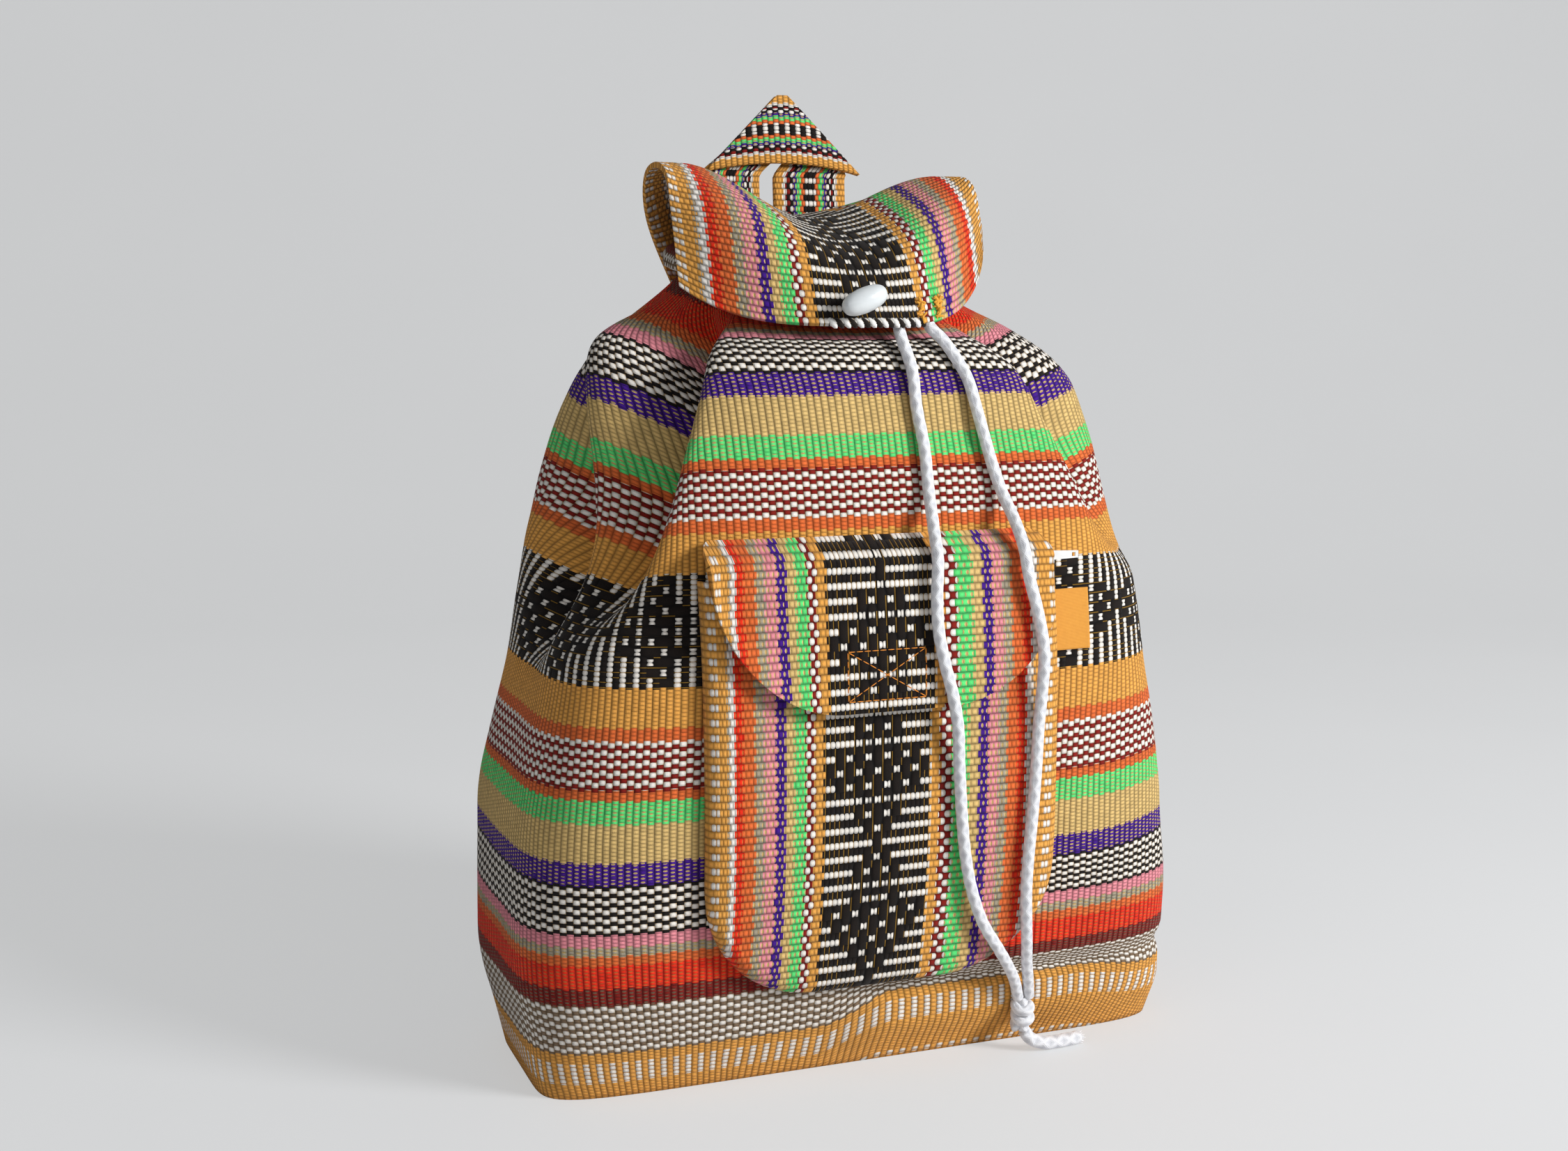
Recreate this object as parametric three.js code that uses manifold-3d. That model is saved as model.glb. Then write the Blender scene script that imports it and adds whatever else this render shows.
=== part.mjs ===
// Handwoven drawstring backpack
//
// A tube of striped cotton stands on a flat base and is drawn together at the neck.
// An arched flap covers the mouth and buttons on a toggle, a mitred band makes the hang
// loop, two straps hang at the back, and a zipped patch pocket sits on the front.
// Millimetres, +Z up, and the front faces -Y. The origin is on the base, halfway front to back
// and straight below the middle of the neck across.

import * as THREE from 'three';
import { mergeVertices } from 'three/addons/utils/BufferGeometryUtils.js';
import Module from 'manifold-3d';

const wasm = await Module();
wasm.setup();

// Bag
const BAG_HEIGHT = 420;
const BAG_WIDTH = 370;
const BAG_DEPTH = 194;
const CLOTH = 2.2;
const SEAM = 0.5;
const NECK_SETBACK = 18;
const LEAN = 8;
const FOLD_DIP = 48;

// Drawcord and the hem that it runs in
const CORD = 6;
const HEM_HEIGHT = 14;
const HEM_CHANNEL = 9;
const HEM_LIP = 5;
const CORD_CLEARANCE = 0.6;
const KNOT_LENGTH = 17;
const KNOT_DIAMETER = 13;

// Top flap
const FLAP_WIDTH = 172;
const FLAP_CREST = 24;
const FLAP_SADDLE = 19;
const FLAP_EDGE_BELOW_RIM = 39;
const FLAP_CORNER_RISE = 27;
const FLAP_STANDOFF = 9;
const FLAP_SEAM_BELOW_RIM = 19;
const FLAP_SEAM_TURN = 52;
const FLAP_BACK_TURN = 58;
const FLAP_HEM_GAP = 1.5;
const FLAP_REST_ABOVE_HEM = 2;
const FLAP_END_RISE = 4.5;
const FLAP_EDGE_SHARE = 0.86;
const FLAP_SHOULDER_SHARE = 0.96;
const FLAP_CURL = 14;
const BUTTONHOLE_WIDTH = 26;
const BUTTONHOLE_HEIGHT = 6;
const BUTTONHOLE_ABOVE_EDGE = 9.5;

// Toggle
const BEAD_LENGTH = 24;
const BEAD_DIAMETER = 12.5;
const BEAD_FULLNESS = 0.7;
const BEAD_TILT = 22;
const TOGGLE_SHIFT = 7;
const SHANK = 3;

// Woven band of the loop and straps
const BAND_WIDTH = 43;
const BAND_THICKNESS = 2.8;
const LOOP_GAP = 6;
const LOOP_SHIFT = 13;
const LOOP_HEIGHT = 128;
const LOOP_LEAN_BACK = 4;
const LOOP_BELOW_RIM = 36;
const STRAP_BELOW_LOOP = 3;
const STRAP_LEAD = 24;
const STRAP_LIFT = 4;
const STRAP_SLACK = 24;
const STRAP_END_SHARE = 0.34;
const STRAP_END_HEIGHT = 15;

// Front pocket and its flap
const POCKET_WIDTH = 188;
const POCKET_SHIFT = -4;
const POCKET_BOTTOM = 52;
const POCKET_TOP = 262;
const POCKET_CORNER = 62;
const POCKET_DEPTH = 8;
const POCKET_ROLL = 10;
const POCKET_FLAP_LENGTH = 80;
const POCKET_FLAP_CORNER_WIDTH = 62;
const POCKET_FLAP_CORNER_HEIGHT = 68;
const POCKET_FLAP_SEAM = 3;
const POCKET_FLAP_ARCH = 6;
const POCKET_FLAP_SHORTEST = 2;

// Hook and loop fastening
const PATCH_WIDTH = 41;
const PATCH_HEIGHT = 24;
const PATCH_THICKNESS = 1.2;
const PATCH_ABOVE_EDGE = 5;
const PATCH_SHIFT = -6;

// Zip
const ZIP_ABOVE_POCKET = 5.5;
const ZIP_INSET = 7.5;
const ZIP_STANDOFF = 2.2;
const COIL_WIDTH = 2.2;
const COIL_DEPTH = 2.4;
const COIL_SLIT = 1.4;
const TAPE = 0.8;
const TAPE_WIDTH = 7;
const TAPE_HEM = 3;
const STOP_LENGTH = 2.4;
const STOP_PROUD = 0.3;
const SLIDER_LENGTH = 9;
const SLIDER_WIDTH = 7.6;
const SLIDER_PLATE = 1.1;
const SLIDER_FIT = 0.4;
const SLIDER_FROM_END = 1;
const LUG_FORWARD = 1.5;
const PULL_LENGTH = 24;
const PULL_WIDTH = 5;
const PULL_THICKNESS = 1;
const PULL_PIN = 1.4;
const PULL_TIP = 3.6;
const PULL_EYE = 4;
const PULL_HOLE = 2;
const PULL_HOLE_FROM_TIP = 2.6;
const PULL_SWING = 10;

// Label tab
const LABEL_WIDTH = 21;
const LABEL_HEIGHT = 31;
const LABEL_THICKNESS = 0.8;
const LABEL_BELOW_POCKET_TOP = 13;

// Sections of the bag, from base to rim: share of height, of width and of depth, how square
// the section is (2 is an oval), the share of the neck's setback, and the share of the lean
const SECTIONS = [
  { up: 0, wide: 0.945, deep: 0.6, square: 8, back: 0, lean: 0.9 },
  { up: 0.06, wide: 0.97, deep: 0.74, square: 6, back: 0, lean: 0.8 },
  { up: 0.15, wide: 0.99, deep: 0.89, square: 5, back: 0, lean: 0.4 },
  { up: 0.31, wide: 0.965, deep: 0.98, square: 4.8, back: 0, lean: 0.1 },
  { up: 0.5, wide: 0.89, deep: 1, square: 4.4, back: 0.1, lean: 0.5 },
  { up: 0.68, wide: 0.8, deep: 0.96, square: 3.8, back: 0.33, lean: 1 },
  { up: 0.83, wide: 0.71, deep: 0.85, square: 3, back: 0.55, lean: 0.8 },
  { up: 0.92, wide: 0.56, deep: 0.72, square: 2.3, back: 0.78, lean: 0 },
  { up: 1, wide: 0.36, deep: 0.54, square: 2, back: 1, lean: 0 },
];

// Gathered folds: angle from the front where each begins and where it meets the neck,
// half width in degrees, share of the radius that it takes, and the height where it begins
const FOLDS = [
  { from: -72, to: -31, width: 6.5, depth: 0.38, start: 0.55 },
  { from: 68, to: 86, width: 7.5, depth: 0.34, start: 0.6 },
  { from: -86, to: -97, width: 7.5, depth: 0.22, start: 0.54 },
  { from: 114, to: 108, width: 9, depth: 0.24, start: 0.62 },
  { from: -134, to: -136, width: 9, depth: 0.24, start: 0.64 },
  { from: 146, to: 142, width: 9, depth: 0.24, start: 0.64 },
  { from: 180, to: 180, width: 9, depth: 0.16, start: 0.7 },
];
const FOLD_GROWTH = 0.25;
const FOLD_FADE = 0.9;

const COLOURS = {
  cloth: 0xc98a3f,
  band: 0xb8723a,
  cord: 0xeef0f2,
  bead: 0xf4f4f0,
  pocket: 0x8a5a3c,
  label: 0xe59a2c,
  patch: 0x3a3430,
  tape: 0xe9e7e0,
  metal: 0xf2f2ee,
};

const radians = THREE.MathUtils.degToRad;
const smooth = THREE.MathUtils.smoothstep;
const vector = (x, y, z) => new THREE.Vector3(x, y, z);
const share = (count) => Array.from({ length: count + 1 }, (_, i) => i / count);
const WELD = 0.0005;
const span = (low, high, count) => share(count).map((t) => low + (high - low) * t);

// Shared shape tools

// One closed geometry from loose triangles of points: corners that meet are shared,
// slivers at poles are dropped, and the faces are turned outwards
function closedGeometry(triangles) {
  const places = new Map();
  const positions = [];
  const indexOf = (p) => {
    const key = [p.x, p.y, p.z].map((n) => Math.round(n / WELD)).join();
    if (!places.has(key)) {
      places.set(key, positions.length / 3);
      positions.push(p.x, p.y, p.z);
    }
    return places.get(key);
  };
  const corners = triangles.map((t) => t.map(indexOf)).filter(([a, b, c]) => a !== b && b !== c && c !== a);
  const volume = triangles.reduce((sum, [a, b, c]) => sum + a.dot(b.clone().cross(c)), 0);
  const index = corners.flatMap(([a, b, c]) => (volume < 0 ? [a, c, b] : [a, b, c]));
  const geometry = new THREE.BufferGeometry();
  geometry.setAttribute('position', new THREE.Float32BufferAttribute(positions, 3));
  geometry.setIndex(index);
  geometry.computeVertexNormals();
  return geometry;
}

// A wall between two skins over one grid: keep says which cells are cloth, and wrap closes
// the grid in its first direction
function skinSolid(us, vs, outer, inner, { wrap = false, keep = () => true } = {}) {
  const columns = wrap ? us.length : us.length - 1;
  const rows = vs.length - 1;
  const out = us.map((u) => vs.map((v) => outer(u, v)));
  const back = us.map((u) => vs.map((v) => inner(u, v)));
  const at = (skin, i, j) => skin[i % us.length][j];
  const kept = (i, j) => {
    const inside = j >= 0 && j < rows && (wrap || (i >= 0 && i < columns));
    return inside && keep((i + columns) % columns, j);
  };
  const triangles = [];
  const quad = (a, b, c, d) => triangles.push([a, b, c], [a, c, d]);
  for (let i = 0; i < columns; i++) {
    for (let j = 0; j < rows; j++) {
      if (!kept(i, j)) continue;
      const corners = [[i, j], [i + 1, j], [i + 1, j + 1], [i, j + 1]];
      const [o00, o10, o11, o01] = corners.map(([a, b]) => at(out, a, b));
      const [b00, b10, b11, b01] = corners.map(([a, b]) => at(back, a, b));
      quad(o00, o10, o11, o01);
      quad(b00, b01, b11, b10);
      if (!kept(i, j - 1)) quad(o00, b00, b10, o10);
      if (!kept(i, j + 1)) quad(o11, b11, b01, o01);
      if (!kept(i - 1, j)) quad(o01, b01, b00, o00);
      if (!kept(i + 1, j)) quad(o10, b10, b11, o11);
    }
  }
  return closedGeometry(triangles);
}

// A flat profile carried through a row of places: place(point, step) sets each corner.
// A ring closes on itself, and any other sweep gets two end caps
function sweepSolid(profile, steps, place, ring = false) {
  const rows = steps.map((step) => profile.map((point) => place(point, step)));
  const triangles = [];
  const spans = ring ? rows.length : rows.length - 1;
  for (let i = 0; i < spans; i++) {
    const [near, far] = [rows[i], rows[(i + 1) % rows.length]];
    profile.forEach((_, k) => {
      const next = (k + 1) % profile.length;
      triangles.push([near[k], near[next], far[next]], [near[k], far[next], far[k]]);
    });
  }
  if (!ring) {
    const cap = THREE.ShapeUtils.triangulateShape(profile, []);
    const clockwise = THREE.ShapeUtils.isClockWise(profile);
    const last = rows[rows.length - 1];
    cap.forEach(([a, b, c]) => {
      const [p, q] = clockwise ? [b, c] : [c, b];
      triangles.push([rows[0][a], rows[0][p], rows[0][q]], [last[a], last[q], last[p]]);
    });
  }
  return closedGeometry(triangles);
}

// Joins
function toManifold(geometry) {
  const bare = geometry.clone();
  const extra = Object.keys(bare.attributes).filter((name) => name !== 'position');
  extra.forEach((name) => bare.deleteAttribute(name));
  const merged = mergeVertices(bare, 1e-3);
  const vertProperties = new Float32Array(merged.attributes.position.array);
  const triVerts = new Uint32Array(merged.index.array);
  return new wasm.Manifold(new wasm.Mesh({ numProp: 3, vertProperties, triVerts }));
}

function fromManifold(solid) {
  const { vertProperties, triVerts } = solid.getMesh();
  const geometry = new THREE.BufferGeometry();
  geometry.setAttribute('position', new THREE.Float32BufferAttribute(vertProperties, 3));
  geometry.setIndex([...triVerts]);
  geometry.computeVertexNormals();
  return geometry;
}

const joined = (...pieces) => fromManifold(pieces.map(toManifold).reduce((a, b) => a.add(b)));

// A box given by its lowest and highest corners
function boxBetween(low, high) {
  const size = high.clone().sub(low);
  const middle = low.clone().add(high).multiplyScalar(0.5);
  return new THREE.BoxGeometry(size.x, size.y, size.z).translate(middle.x, middle.y, middle.z);
}

// A round cord along a smooth curve through its route
function cordTube(route, diameter, steps, sides = 10) {
  const section = new THREE.Shape(
    share(sides).slice(0, -1).map((t) => {
      const turn = 2 * Math.PI * t;
      return new THREE.Vector2(Math.cos(turn), Math.sin(turn)).multiplyScalar(diameter / 2);
    }),
  );
  const extrudePath = new THREE.CatmullRomCurve3(route, false, 'centripetal');
  return new THREE.ExtrudeGeometry(section, { steps, extrudePath, bevelEnabled: false });
}

// The bag's outer surface

// Smooth value of one column of the sections at a share of the height, with no overshoot
function sectionAt(column, up) {
  const last = SECTIONS.length - 2;
  const above = SECTIONS.findIndex((s) => s.up > up);
  const at = above < 0 ? last : Math.max(above - 1, 0);
  const rise = (k) => (SECTIONS[k + 1][column] - SECTIONS[k][column]) / (SECTIONS[k + 1].up - SECTIONS[k].up);
  const slope = (k) => {
    if (k === 0) return rise(0);
    if (k > last) return rise(last);
    const [before, after] = [rise(k - 1), rise(k)];
    return before * after <= 0 ? 0 : (2 * before * after) / (before + after);
  };
  const [low, high] = [SECTIONS[at], SECTIONS[at + 1]];
  const width = high.up - low.up;
  const t = (up - low.up) / width;
  const hermite = [
    low[column] * (2 * t ** 3 - 3 * t ** 2 + 1),
    slope(at) * width * (t ** 3 - 2 * t ** 2 + t),
    high[column] * (3 * t ** 2 - 2 * t ** 3),
    slope(at + 1) * width * (t ** 3 - t ** 2),
  ];
  return hermite.reduce((sum, term) => sum + term, 0);
}

// Share of the radius that the folds take at an angle in degrees from the front
function foldAt(angle, up) {
  return FOLDS.reduce((sum, { from, to, width, depth, start }) => {
    const middle = THREE.MathUtils.mapLinear(up, start, 1, from, to);
    const away = THREE.MathUtils.euclideanModulo(angle - middle + 180, 360) - 180;
    const grown = smooth(up, start, start + FOLD_GROWTH) * (1 - smooth(up, FOLD_FADE, 1));
    return sum + depth * grown * Math.exp(-((away / width) ** 2));
  }, 0);
}

// Outer surface at an angle in degrees from the front and a share of the height;
// reach moves the point outwards from the bag's axis
function bagPoint(angle, up, reach = 0) {
  const [wide, deep] = [(BAG_WIDTH / 2) * sectionAt('wide', up), (BAG_DEPTH / 2) * sectionAt('deep', up)];
  const square = sectionAt('square', up);
  const [side, front] = [Math.sin(radians(angle)), Math.cos(radians(angle))];
  const oval = (Math.abs(side / wide) ** square + Math.abs(front / deep) ** square) ** (-1 / square);
  const fold = foldAt(angle, up);
  const radius = oval * (1 - fold) + reach;
  const [setback, lean] = [NECK_SETBACK * sectionAt('back', up), LEAN * sectionAt('lean', up)];
  return vector(lean + radius * side, setback - radius * front, BAG_HEIGHT * up - FOLD_DIP * fold);
}

// Outward normal of that surface
function bagNormal(angle, up) {
  const [turn, climb] = [0.5, 0.002];
  const [low, high] = [Math.max(up - climb, 0), Math.min(up + climb, 1)];
  const across = bagPoint(angle + turn, up).sub(bagPoint(angle - turn, up));
  const upwards = bagPoint(angle, high).sub(bagPoint(angle, low));
  return across.cross(upwards).normalize();
}

// Y of the front or back of the bag at a place seen from the front
function bagY(x, z, facing = 'front') {
  const up = THREE.MathUtils.clamp(z / BAG_HEIGHT, 0, 1);
  let [near, far] = facing === 'front' ? [-89, 89] : [269, 91];
  for (let i = 0; i < 40; i++) {
    const middle = (near + far) / 2;
    if (bagPoint(middle, up).x < x) near = middle;
    else far = middle;
  }
  return bagPoint((near + far) / 2, up).y;
}

// A soft sheet on the front: low and high give its edges in z, and rest(x, z) is the y of its
// back face
function frontSheet(xs, ts, low, high, rest, thickness) {
  const skin = (offset) => (x, t) => {
    const z = THREE.MathUtils.lerp(low(x), high(x), t);
    return vector(x, rest(x, z) - offset, z);
  };
  return skinSolid(xs, ts, skin(thickness), skin(0));
}

// Bag body

const EVEN_ANGLES = 48;
const FOLD_SAMPLES = [-0.75, 0, 0.75];
const CLOSEST_ANGLES = 2.5;
const LOW_RINGS = [0.02, 0.06, 0.12, 0.2, 0.3, 0.4, 0.5];
const GATHERED_RINGS = [0.57, 0.63, 0.69, 0.75, 0.8, 0.85, 0.89, 0.93, 0.965, 1];
const BASE_RINGS = [0, 0.55];

// Even steps round the bag, with extra ones in the valley of each fold
function shellAngles() {
  const valleys = FOLDS.flatMap(({ to, width }) => FOLD_SAMPLES.map((s) => to + s * width));
  const even = span(-180, 180, EVEN_ANGLES).slice(0, -1);
  const far = (a, b) => Math.abs(THREE.MathUtils.euclideanModulo(a - b + 180, 360) - 180) >= CLOSEST_ANGLES;
  const clear = even.filter((angle) => valleys.every((valley) => far(angle, valley)));
  return [...clear, ...valleys.map((v) => (v >= 180 ? v - 360 : v))].sort((a, b) => a - b);
}

// Rows below zero are on the base, and rows from zero up are on the side
function bagBody() {
  const rows = [...BASE_RINGS.map((t) => t - 1), 0, ...LOW_RINGS, ...GATHERED_RINGS];
  const floor = CLOTH / BAG_HEIGHT;
  const outer = (angle, row) => {
    const edge = bagPoint(angle, Math.max(row, 0));
    return row < 0 ? edge.multiplyScalar(row + 1) : edge;
  };
  const inner = (angle, row) => {
    const up = Math.max(row, floor);
    const wall = bagPoint(angle, up).addScaledVector(bagNormal(angle, up), -CLOTH);
    const point = row < 0 ? wall.multiply(vector(row + 1, row + 1, 1)) : wall;
    point.z = row >= 1 ? BAG_HEIGHT : Math.max(point.z, CLOTH);
    if (row <= 0) point.z = CLOTH;
    return point;
  };
  return skinSolid(shellAngles(), rows, outer, inner, { wrap: true });
}

// Neck hem: an upside-down channel that stands on the rim and holds the drawcord
const HEM_ANGLES = span(-180, 180, 48).slice(0, -1);

function neckCasing() {
  const [top, roof] = [HEM_HEIGHT, HEM_HEIGHT - CLOTH];
  const outside = HEM_CHANNEL + CLOTH;
  const profile = [
    [-CLOTH, SEAM],
    [0, SEAM],
    [0, roof],
    [HEM_CHANNEL, roof],
    [HEM_CHANNEL, HEM_LIP],
    [outside, HEM_LIP],
    [outside, top],
    [-CLOTH, top],
  ].map(([reach, rise]) => new THREE.Vector2(reach, rise));
  const place = ({ x, y }, angle) => bagPoint(angle, 1, x).add(vector(0, 0, y));
  return sweepSolid(profile, HEM_ANGLES, place, true);
}

// Drawcord: round the neck inside the hem, out at the front right, and down in two tails
const CORD_EXITS = { left: 20, right: 40 };
const CORD_IN_HEM = HEM_HEIGHT - CLOTH - CORD_CLEARANCE - CORD / 2;
const CORD_BEND = 11;
const CORD_DROP = [
  { turn: 5, out: 0.6, down: 1.2 },
  { turn: 9, out: 2.2, down: 5 },
  { turn: 11, out: 4.4, down: 10.5 },
];

function drawcordNeck() {
  const reach = CORD / 2 + CORD_CLEARANCE;
  const { left, right } = CORD_EXITS;
  const round = span(right + CORD_BEND, 360 + left - CORD_BEND, 26);
  const atRim = (angle, out, rise) => bagPoint(angle, 1, reach + out).add(vector(0, 0, rise));
  const inHem = round.map((angle) => atRim(angle, 0, CORD_IN_HEM));
  const leave = (from, way) => {
    return CORD_DROP.map(({ turn, out, down }) => atRim(from + way * turn, out, CORD_IN_HEM - down));
  };
  const route = [...leave(right + CORD_BEND, -1).reverse(), ...inHem, ...leave(left - CORD_BEND, 1)];
  return cordTube(route, CORD, 44);
}

// Routes of the free cord, chosen by hand: down the front, over the pocket, to the knot and the table
const LEFT_TAIL = [
  [21.5, -40.6, 416.4],
  [22.3, -43.8, 410.8],
  [21.2, -49, 403.5],
  [18.5, -55.9, 393.5],
  [16.6, -63.8, 379],
  [19.5, -72.6, 360],
  [19.5, -78.8, 341],
  [21.3, -84, 322],
  [21.3, -90, 300],
  [18.5, -102, 283],
  [16, -112, 269.5],
  [15, -113.6, 252],
  [15.5, -114.8, 236],
  [18.5, -115.8, 220],
  [22.5, -116.4, 205],
  [26.3, -115.2, 188],
  [29, -111.8, 167],
  [31.3, -110.6, 142],
  [33.8, -109.8, 122],
  [38.5, -108.4, 102],
  [46, -106.2, 84],
  [56.5, -102.6, 68.5],
  [66, -95.5, 56],
  [74.5, -87.2, 44],
  [81.2, -79, 31.2],
];
const RIGHT_TAIL = [
  [41.7, -32.3, 417.2],
  [41.2, -36.6, 411.5],
  [39.8, -42, 406.5],
  [37, -49.6, 398],
  [34, -56.8, 388.5],
  [34.5, -61.2, 381],
  [40, -64.6, 374.5],
  [46.3, -69, 364],
  [50.2, -73.2, 354.5],
  [52.6, -78.2, 340.6],
  [55.2, -82, 326.8],
  [58, -85.6, 313],
  [61.5, -90, 299],
  [63.5, -100.5, 285.5],
  [63.5, -110.2, 273.5],
  [65.2, -112.8, 259.5],
  [69, -113.8, 245],
  [71.8, -114.8, 231.5],
  [73.2, -115.2, 219.5],
  [73.8, -112.6, 203],
  [73.4, -110.4, 184],
  [72.4, -110.2, 160],
  [71, -110, 138],
  [69.8, -109, 118],
  [69.8, -107.2, 99.5],
  [71.4, -104.8, 84],
  [74.8, -99.4, 68.5],
  [79, -92, 55],
  [83.6, -85.2, 43],
  [87.6, -79, 31.2],
];
const JOINED_END = [
  [85.4, -78.5, 11.65],
  [89.4, -79.4, 7],
  [97, -80.3, 4.3],
  [108, -80, 3.9],
  [118, -79, 3.9],
];
const KNOT = [84.5, -78.2, 21.5];
const END_THICKENING = 1;

const routed = (points, diameter, steps) => cordTube(points.map((p) => vector(...p)), diameter, steps);
const drawcordTail = (route) => routed(route, CORD, 28);
const drawcordEnd = () => routed(JOINED_END, CORD + END_THICKENING, 6);

// The overhand knot, as the round outside of its turns
function drawcordKnot() {
  const profile = span(-90, 90, 8).map((angle) => {
    const out = Math.abs(angle) === 90 ? 0 : (KNOT_DIAMETER / 2) * Math.cos(radians(angle));
    return new THREE.Vector2(out, (KNOT_LENGTH / 2) * Math.sin(radians(angle)));
  });
  return new THREE.LatheGeometry(profile, 12).rotateX(radians(90)).translate(...KNOT);
}

// Top flap

const FLAP_COLUMNS = span(-1, 1, 18);
const FLAP_ROWS = span(0, 1, 13);
const FLAP_EDGE = BAG_HEIGHT - FLAP_EDGE_BELOW_RIM;

// Ribs of the flap from the back seam over the crest to the front edge, at u across
function flapRib(u) {
  const half = FLAP_WIDTH / 2;
  const rim = BAG_HEIGHT + HEM_HEIGHT;
  const clear = HEM_CHANNEL + CLOTH + FLAP_HEM_GAP;
  const rest = rim + FLAP_REST_ABOVE_HEM + FLAP_END_RISE * u ** 2;
  const seam = bagPoint(180 - FLAP_SEAM_TURN * u, 1 - FLAP_SEAM_BELOW_RIM / BAG_HEIGHT, 3 * SEAM);
  const behind = bagPoint(180 - FLAP_BACK_TURN * u, 1, clear).setZ(rest);
  const front = bagPoint(0, 1, clear);
  const crest = vector(half * u, NECK_SETBACK, BAG_HEIGHT + FLAP_CREST + FLAP_SADDLE * u ** 2);
  const curl = FLAP_CURL * u ** 2;
  const shoulder = vector(FLAP_SHOULDER_SHARE * half * u, front.y + curl, rest);
  const edgeY = bagY(0, FLAP_EDGE) - FLAP_STANDOFF;
  const edge = vector(FLAP_EDGE_SHARE * half * u, edgeY + curl, FLAP_EDGE + FLAP_CORNER_RISE * u ** 4);
  return new THREE.CatmullRomCurve3([seam, behind, crest, shoulder, edge], false, 'centripetal');
}

const flapPoint = (u, w) => flapRib(u).getPoint(w);

function flapNormal(u, w) {
  const step = 0.01;
  const [back, ahead] = [Math.max(w - step, 0), Math.min(w + step, 1)];
  const across = flapPoint(u + step, w).sub(flapPoint(u - step, w));
  const along = flapPoint(u, ahead).sub(flapPoint(u, back));
  return along.cross(across).normalize();
}

// The buttonhole lies near the front edge, on the last quarter of each rib
const FLAP_FALL = 4 * (FLAP_EDGE_BELOW_RIM + HEM_HEIGHT);
const BUTTONHOLE_W = 1 - BUTTONHOLE_ABOVE_EDGE / FLAP_FALL;
const TOGGLE_U = (-2 * TOGGLE_SHIFT) / FLAP_WIDTH;

function topFlap() {
  const wide = BUTTONHOLE_WIDTH / FLAP_WIDTH;
  const high = BUTTONHOLE_HEIGHT / 2 / FLAP_FALL;
  const holeU = [-wide, wide];
  const holeW = [BUTTONHOLE_W - high, BUTTONHOLE_W + high];
  const withHole = (values, [low, high]) => {
    const margin = (values[1] - values[0]) / 3;
    const clear = values.filter((v) => v < low - margin || v > high + margin);
    return [...clear, low, high].sort((a, b) => a - b);
  };
  const us = withHole(FLAP_COLUMNS, holeU);
  const ws = withHole(FLAP_ROWS, holeW);
  const keep = (i, j) => !(us[i] === holeU[0] && ws[j] === holeW[0]);
  const outer = (u, w) => flapPoint(u, w).addScaledVector(flapNormal(u, w), CLOTH);
  return skinSolid(us, ws, outer, flapPoint, { keep });
}

// Toggle: a barrel bead outside the buttonhole, tied to the bag by a thread shank
function toggleBead() {
  const [long, round] = [BEAD_LENGTH / 2, BEAD_DIAMETER / 2];
  const profile = span(-90, 90, 10).map((angle) => {
    const [out, along] = [Math.cos(radians(angle)), Math.sin(radians(angle))];
    return new THREE.Vector2(Math.abs(angle) === 90 ? 0 : round * out ** BEAD_FULLNESS, long * along);
  });
  const bead = new THREE.LatheGeometry(profile, 16).rotateZ(radians(-90)).rotateY(radians(-BEAD_TILT));
  const seat = flapPoint(TOGGLE_U, BUTTONHOLE_W);
  const normal = flapNormal(TOGGLE_U, BUTTONHOLE_W);
  const place = seat.addScaledVector(normal, CLOTH + 2 * SEAM + round);
  return bead.translate(place.x, place.y, place.z);
}

function toggleShank() {
  const hole = flapPoint(TOGGLE_U, BUTTONHOLE_W);
  const normal = flapNormal(TOGGLE_U, BUTTONHOLE_W);
  const front = hole.clone().addScaledVector(normal, CLOTH);
  const bag = bagY(front.x, front.z - SHANK / 2) - SEAM;
  front.y -= SEAM;
  const length = bag - front.y;
  const shank = new THREE.CylinderGeometry(SHANK / 2, SHANK / 2, length, 10);
  return shank.translate(front.x, (bag + front.y) / 2, front.z);
}

// Hang loop: one band, up the left leg, mitred into a level run and mitred down the right leg.
// It is drawn flat, x across and y up, with the level run in front of the legs

function hangLoop() {
  const [inside, outside] = [LOOP_GAP / 2, LOOP_GAP / 2 + BAND_WIDTH];
  const run = LOOP_HEIGHT - outside;
  const tip = run + BAND_WIDTH;
  const outline = (points) => new THREE.Shape(points.map(([x, y]) => new THREE.Vector2(x, y)));
  const flat = (points, depth, lift) =>
    new THREE.ExtrudeGeometry(outline(points), { depth, bevelEnabled: false }).translate(0, 0, lift);
  const leg = (side) => {
    const points = [
      [side * inside, 0],
      [side * outside, 0],
      [side * outside, run],
      [side * inside, tip],
    ];
    return flat(side > 0 ? points : points.reverse(), BAND_THICKNESS, 0);
  };
  const front = BAND_THICKNESS + SEAM;
  const level = flat([[-outside, run], [outside, run], [inside, tip], [-inside, tip]], BAND_THICKNESS, front);
  const fold = (side) => {
    const radius = BAND_THICKNESS + SEAM / 2;
    const length = BAND_WIDTH * Math.SQRT2;
    const roll = new THREE.CylinderGeometry(radius, radius, length, 12);
    const middle = [side * (inside + BAND_WIDTH / 2), run + BAND_WIDTH / 2, radius];
    return roll.rotateZ(side * radians(45)).translate(...middle);
  };
  return joined(leg(-1), leg(1), level, fold(-1), fold(1));
}

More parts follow.
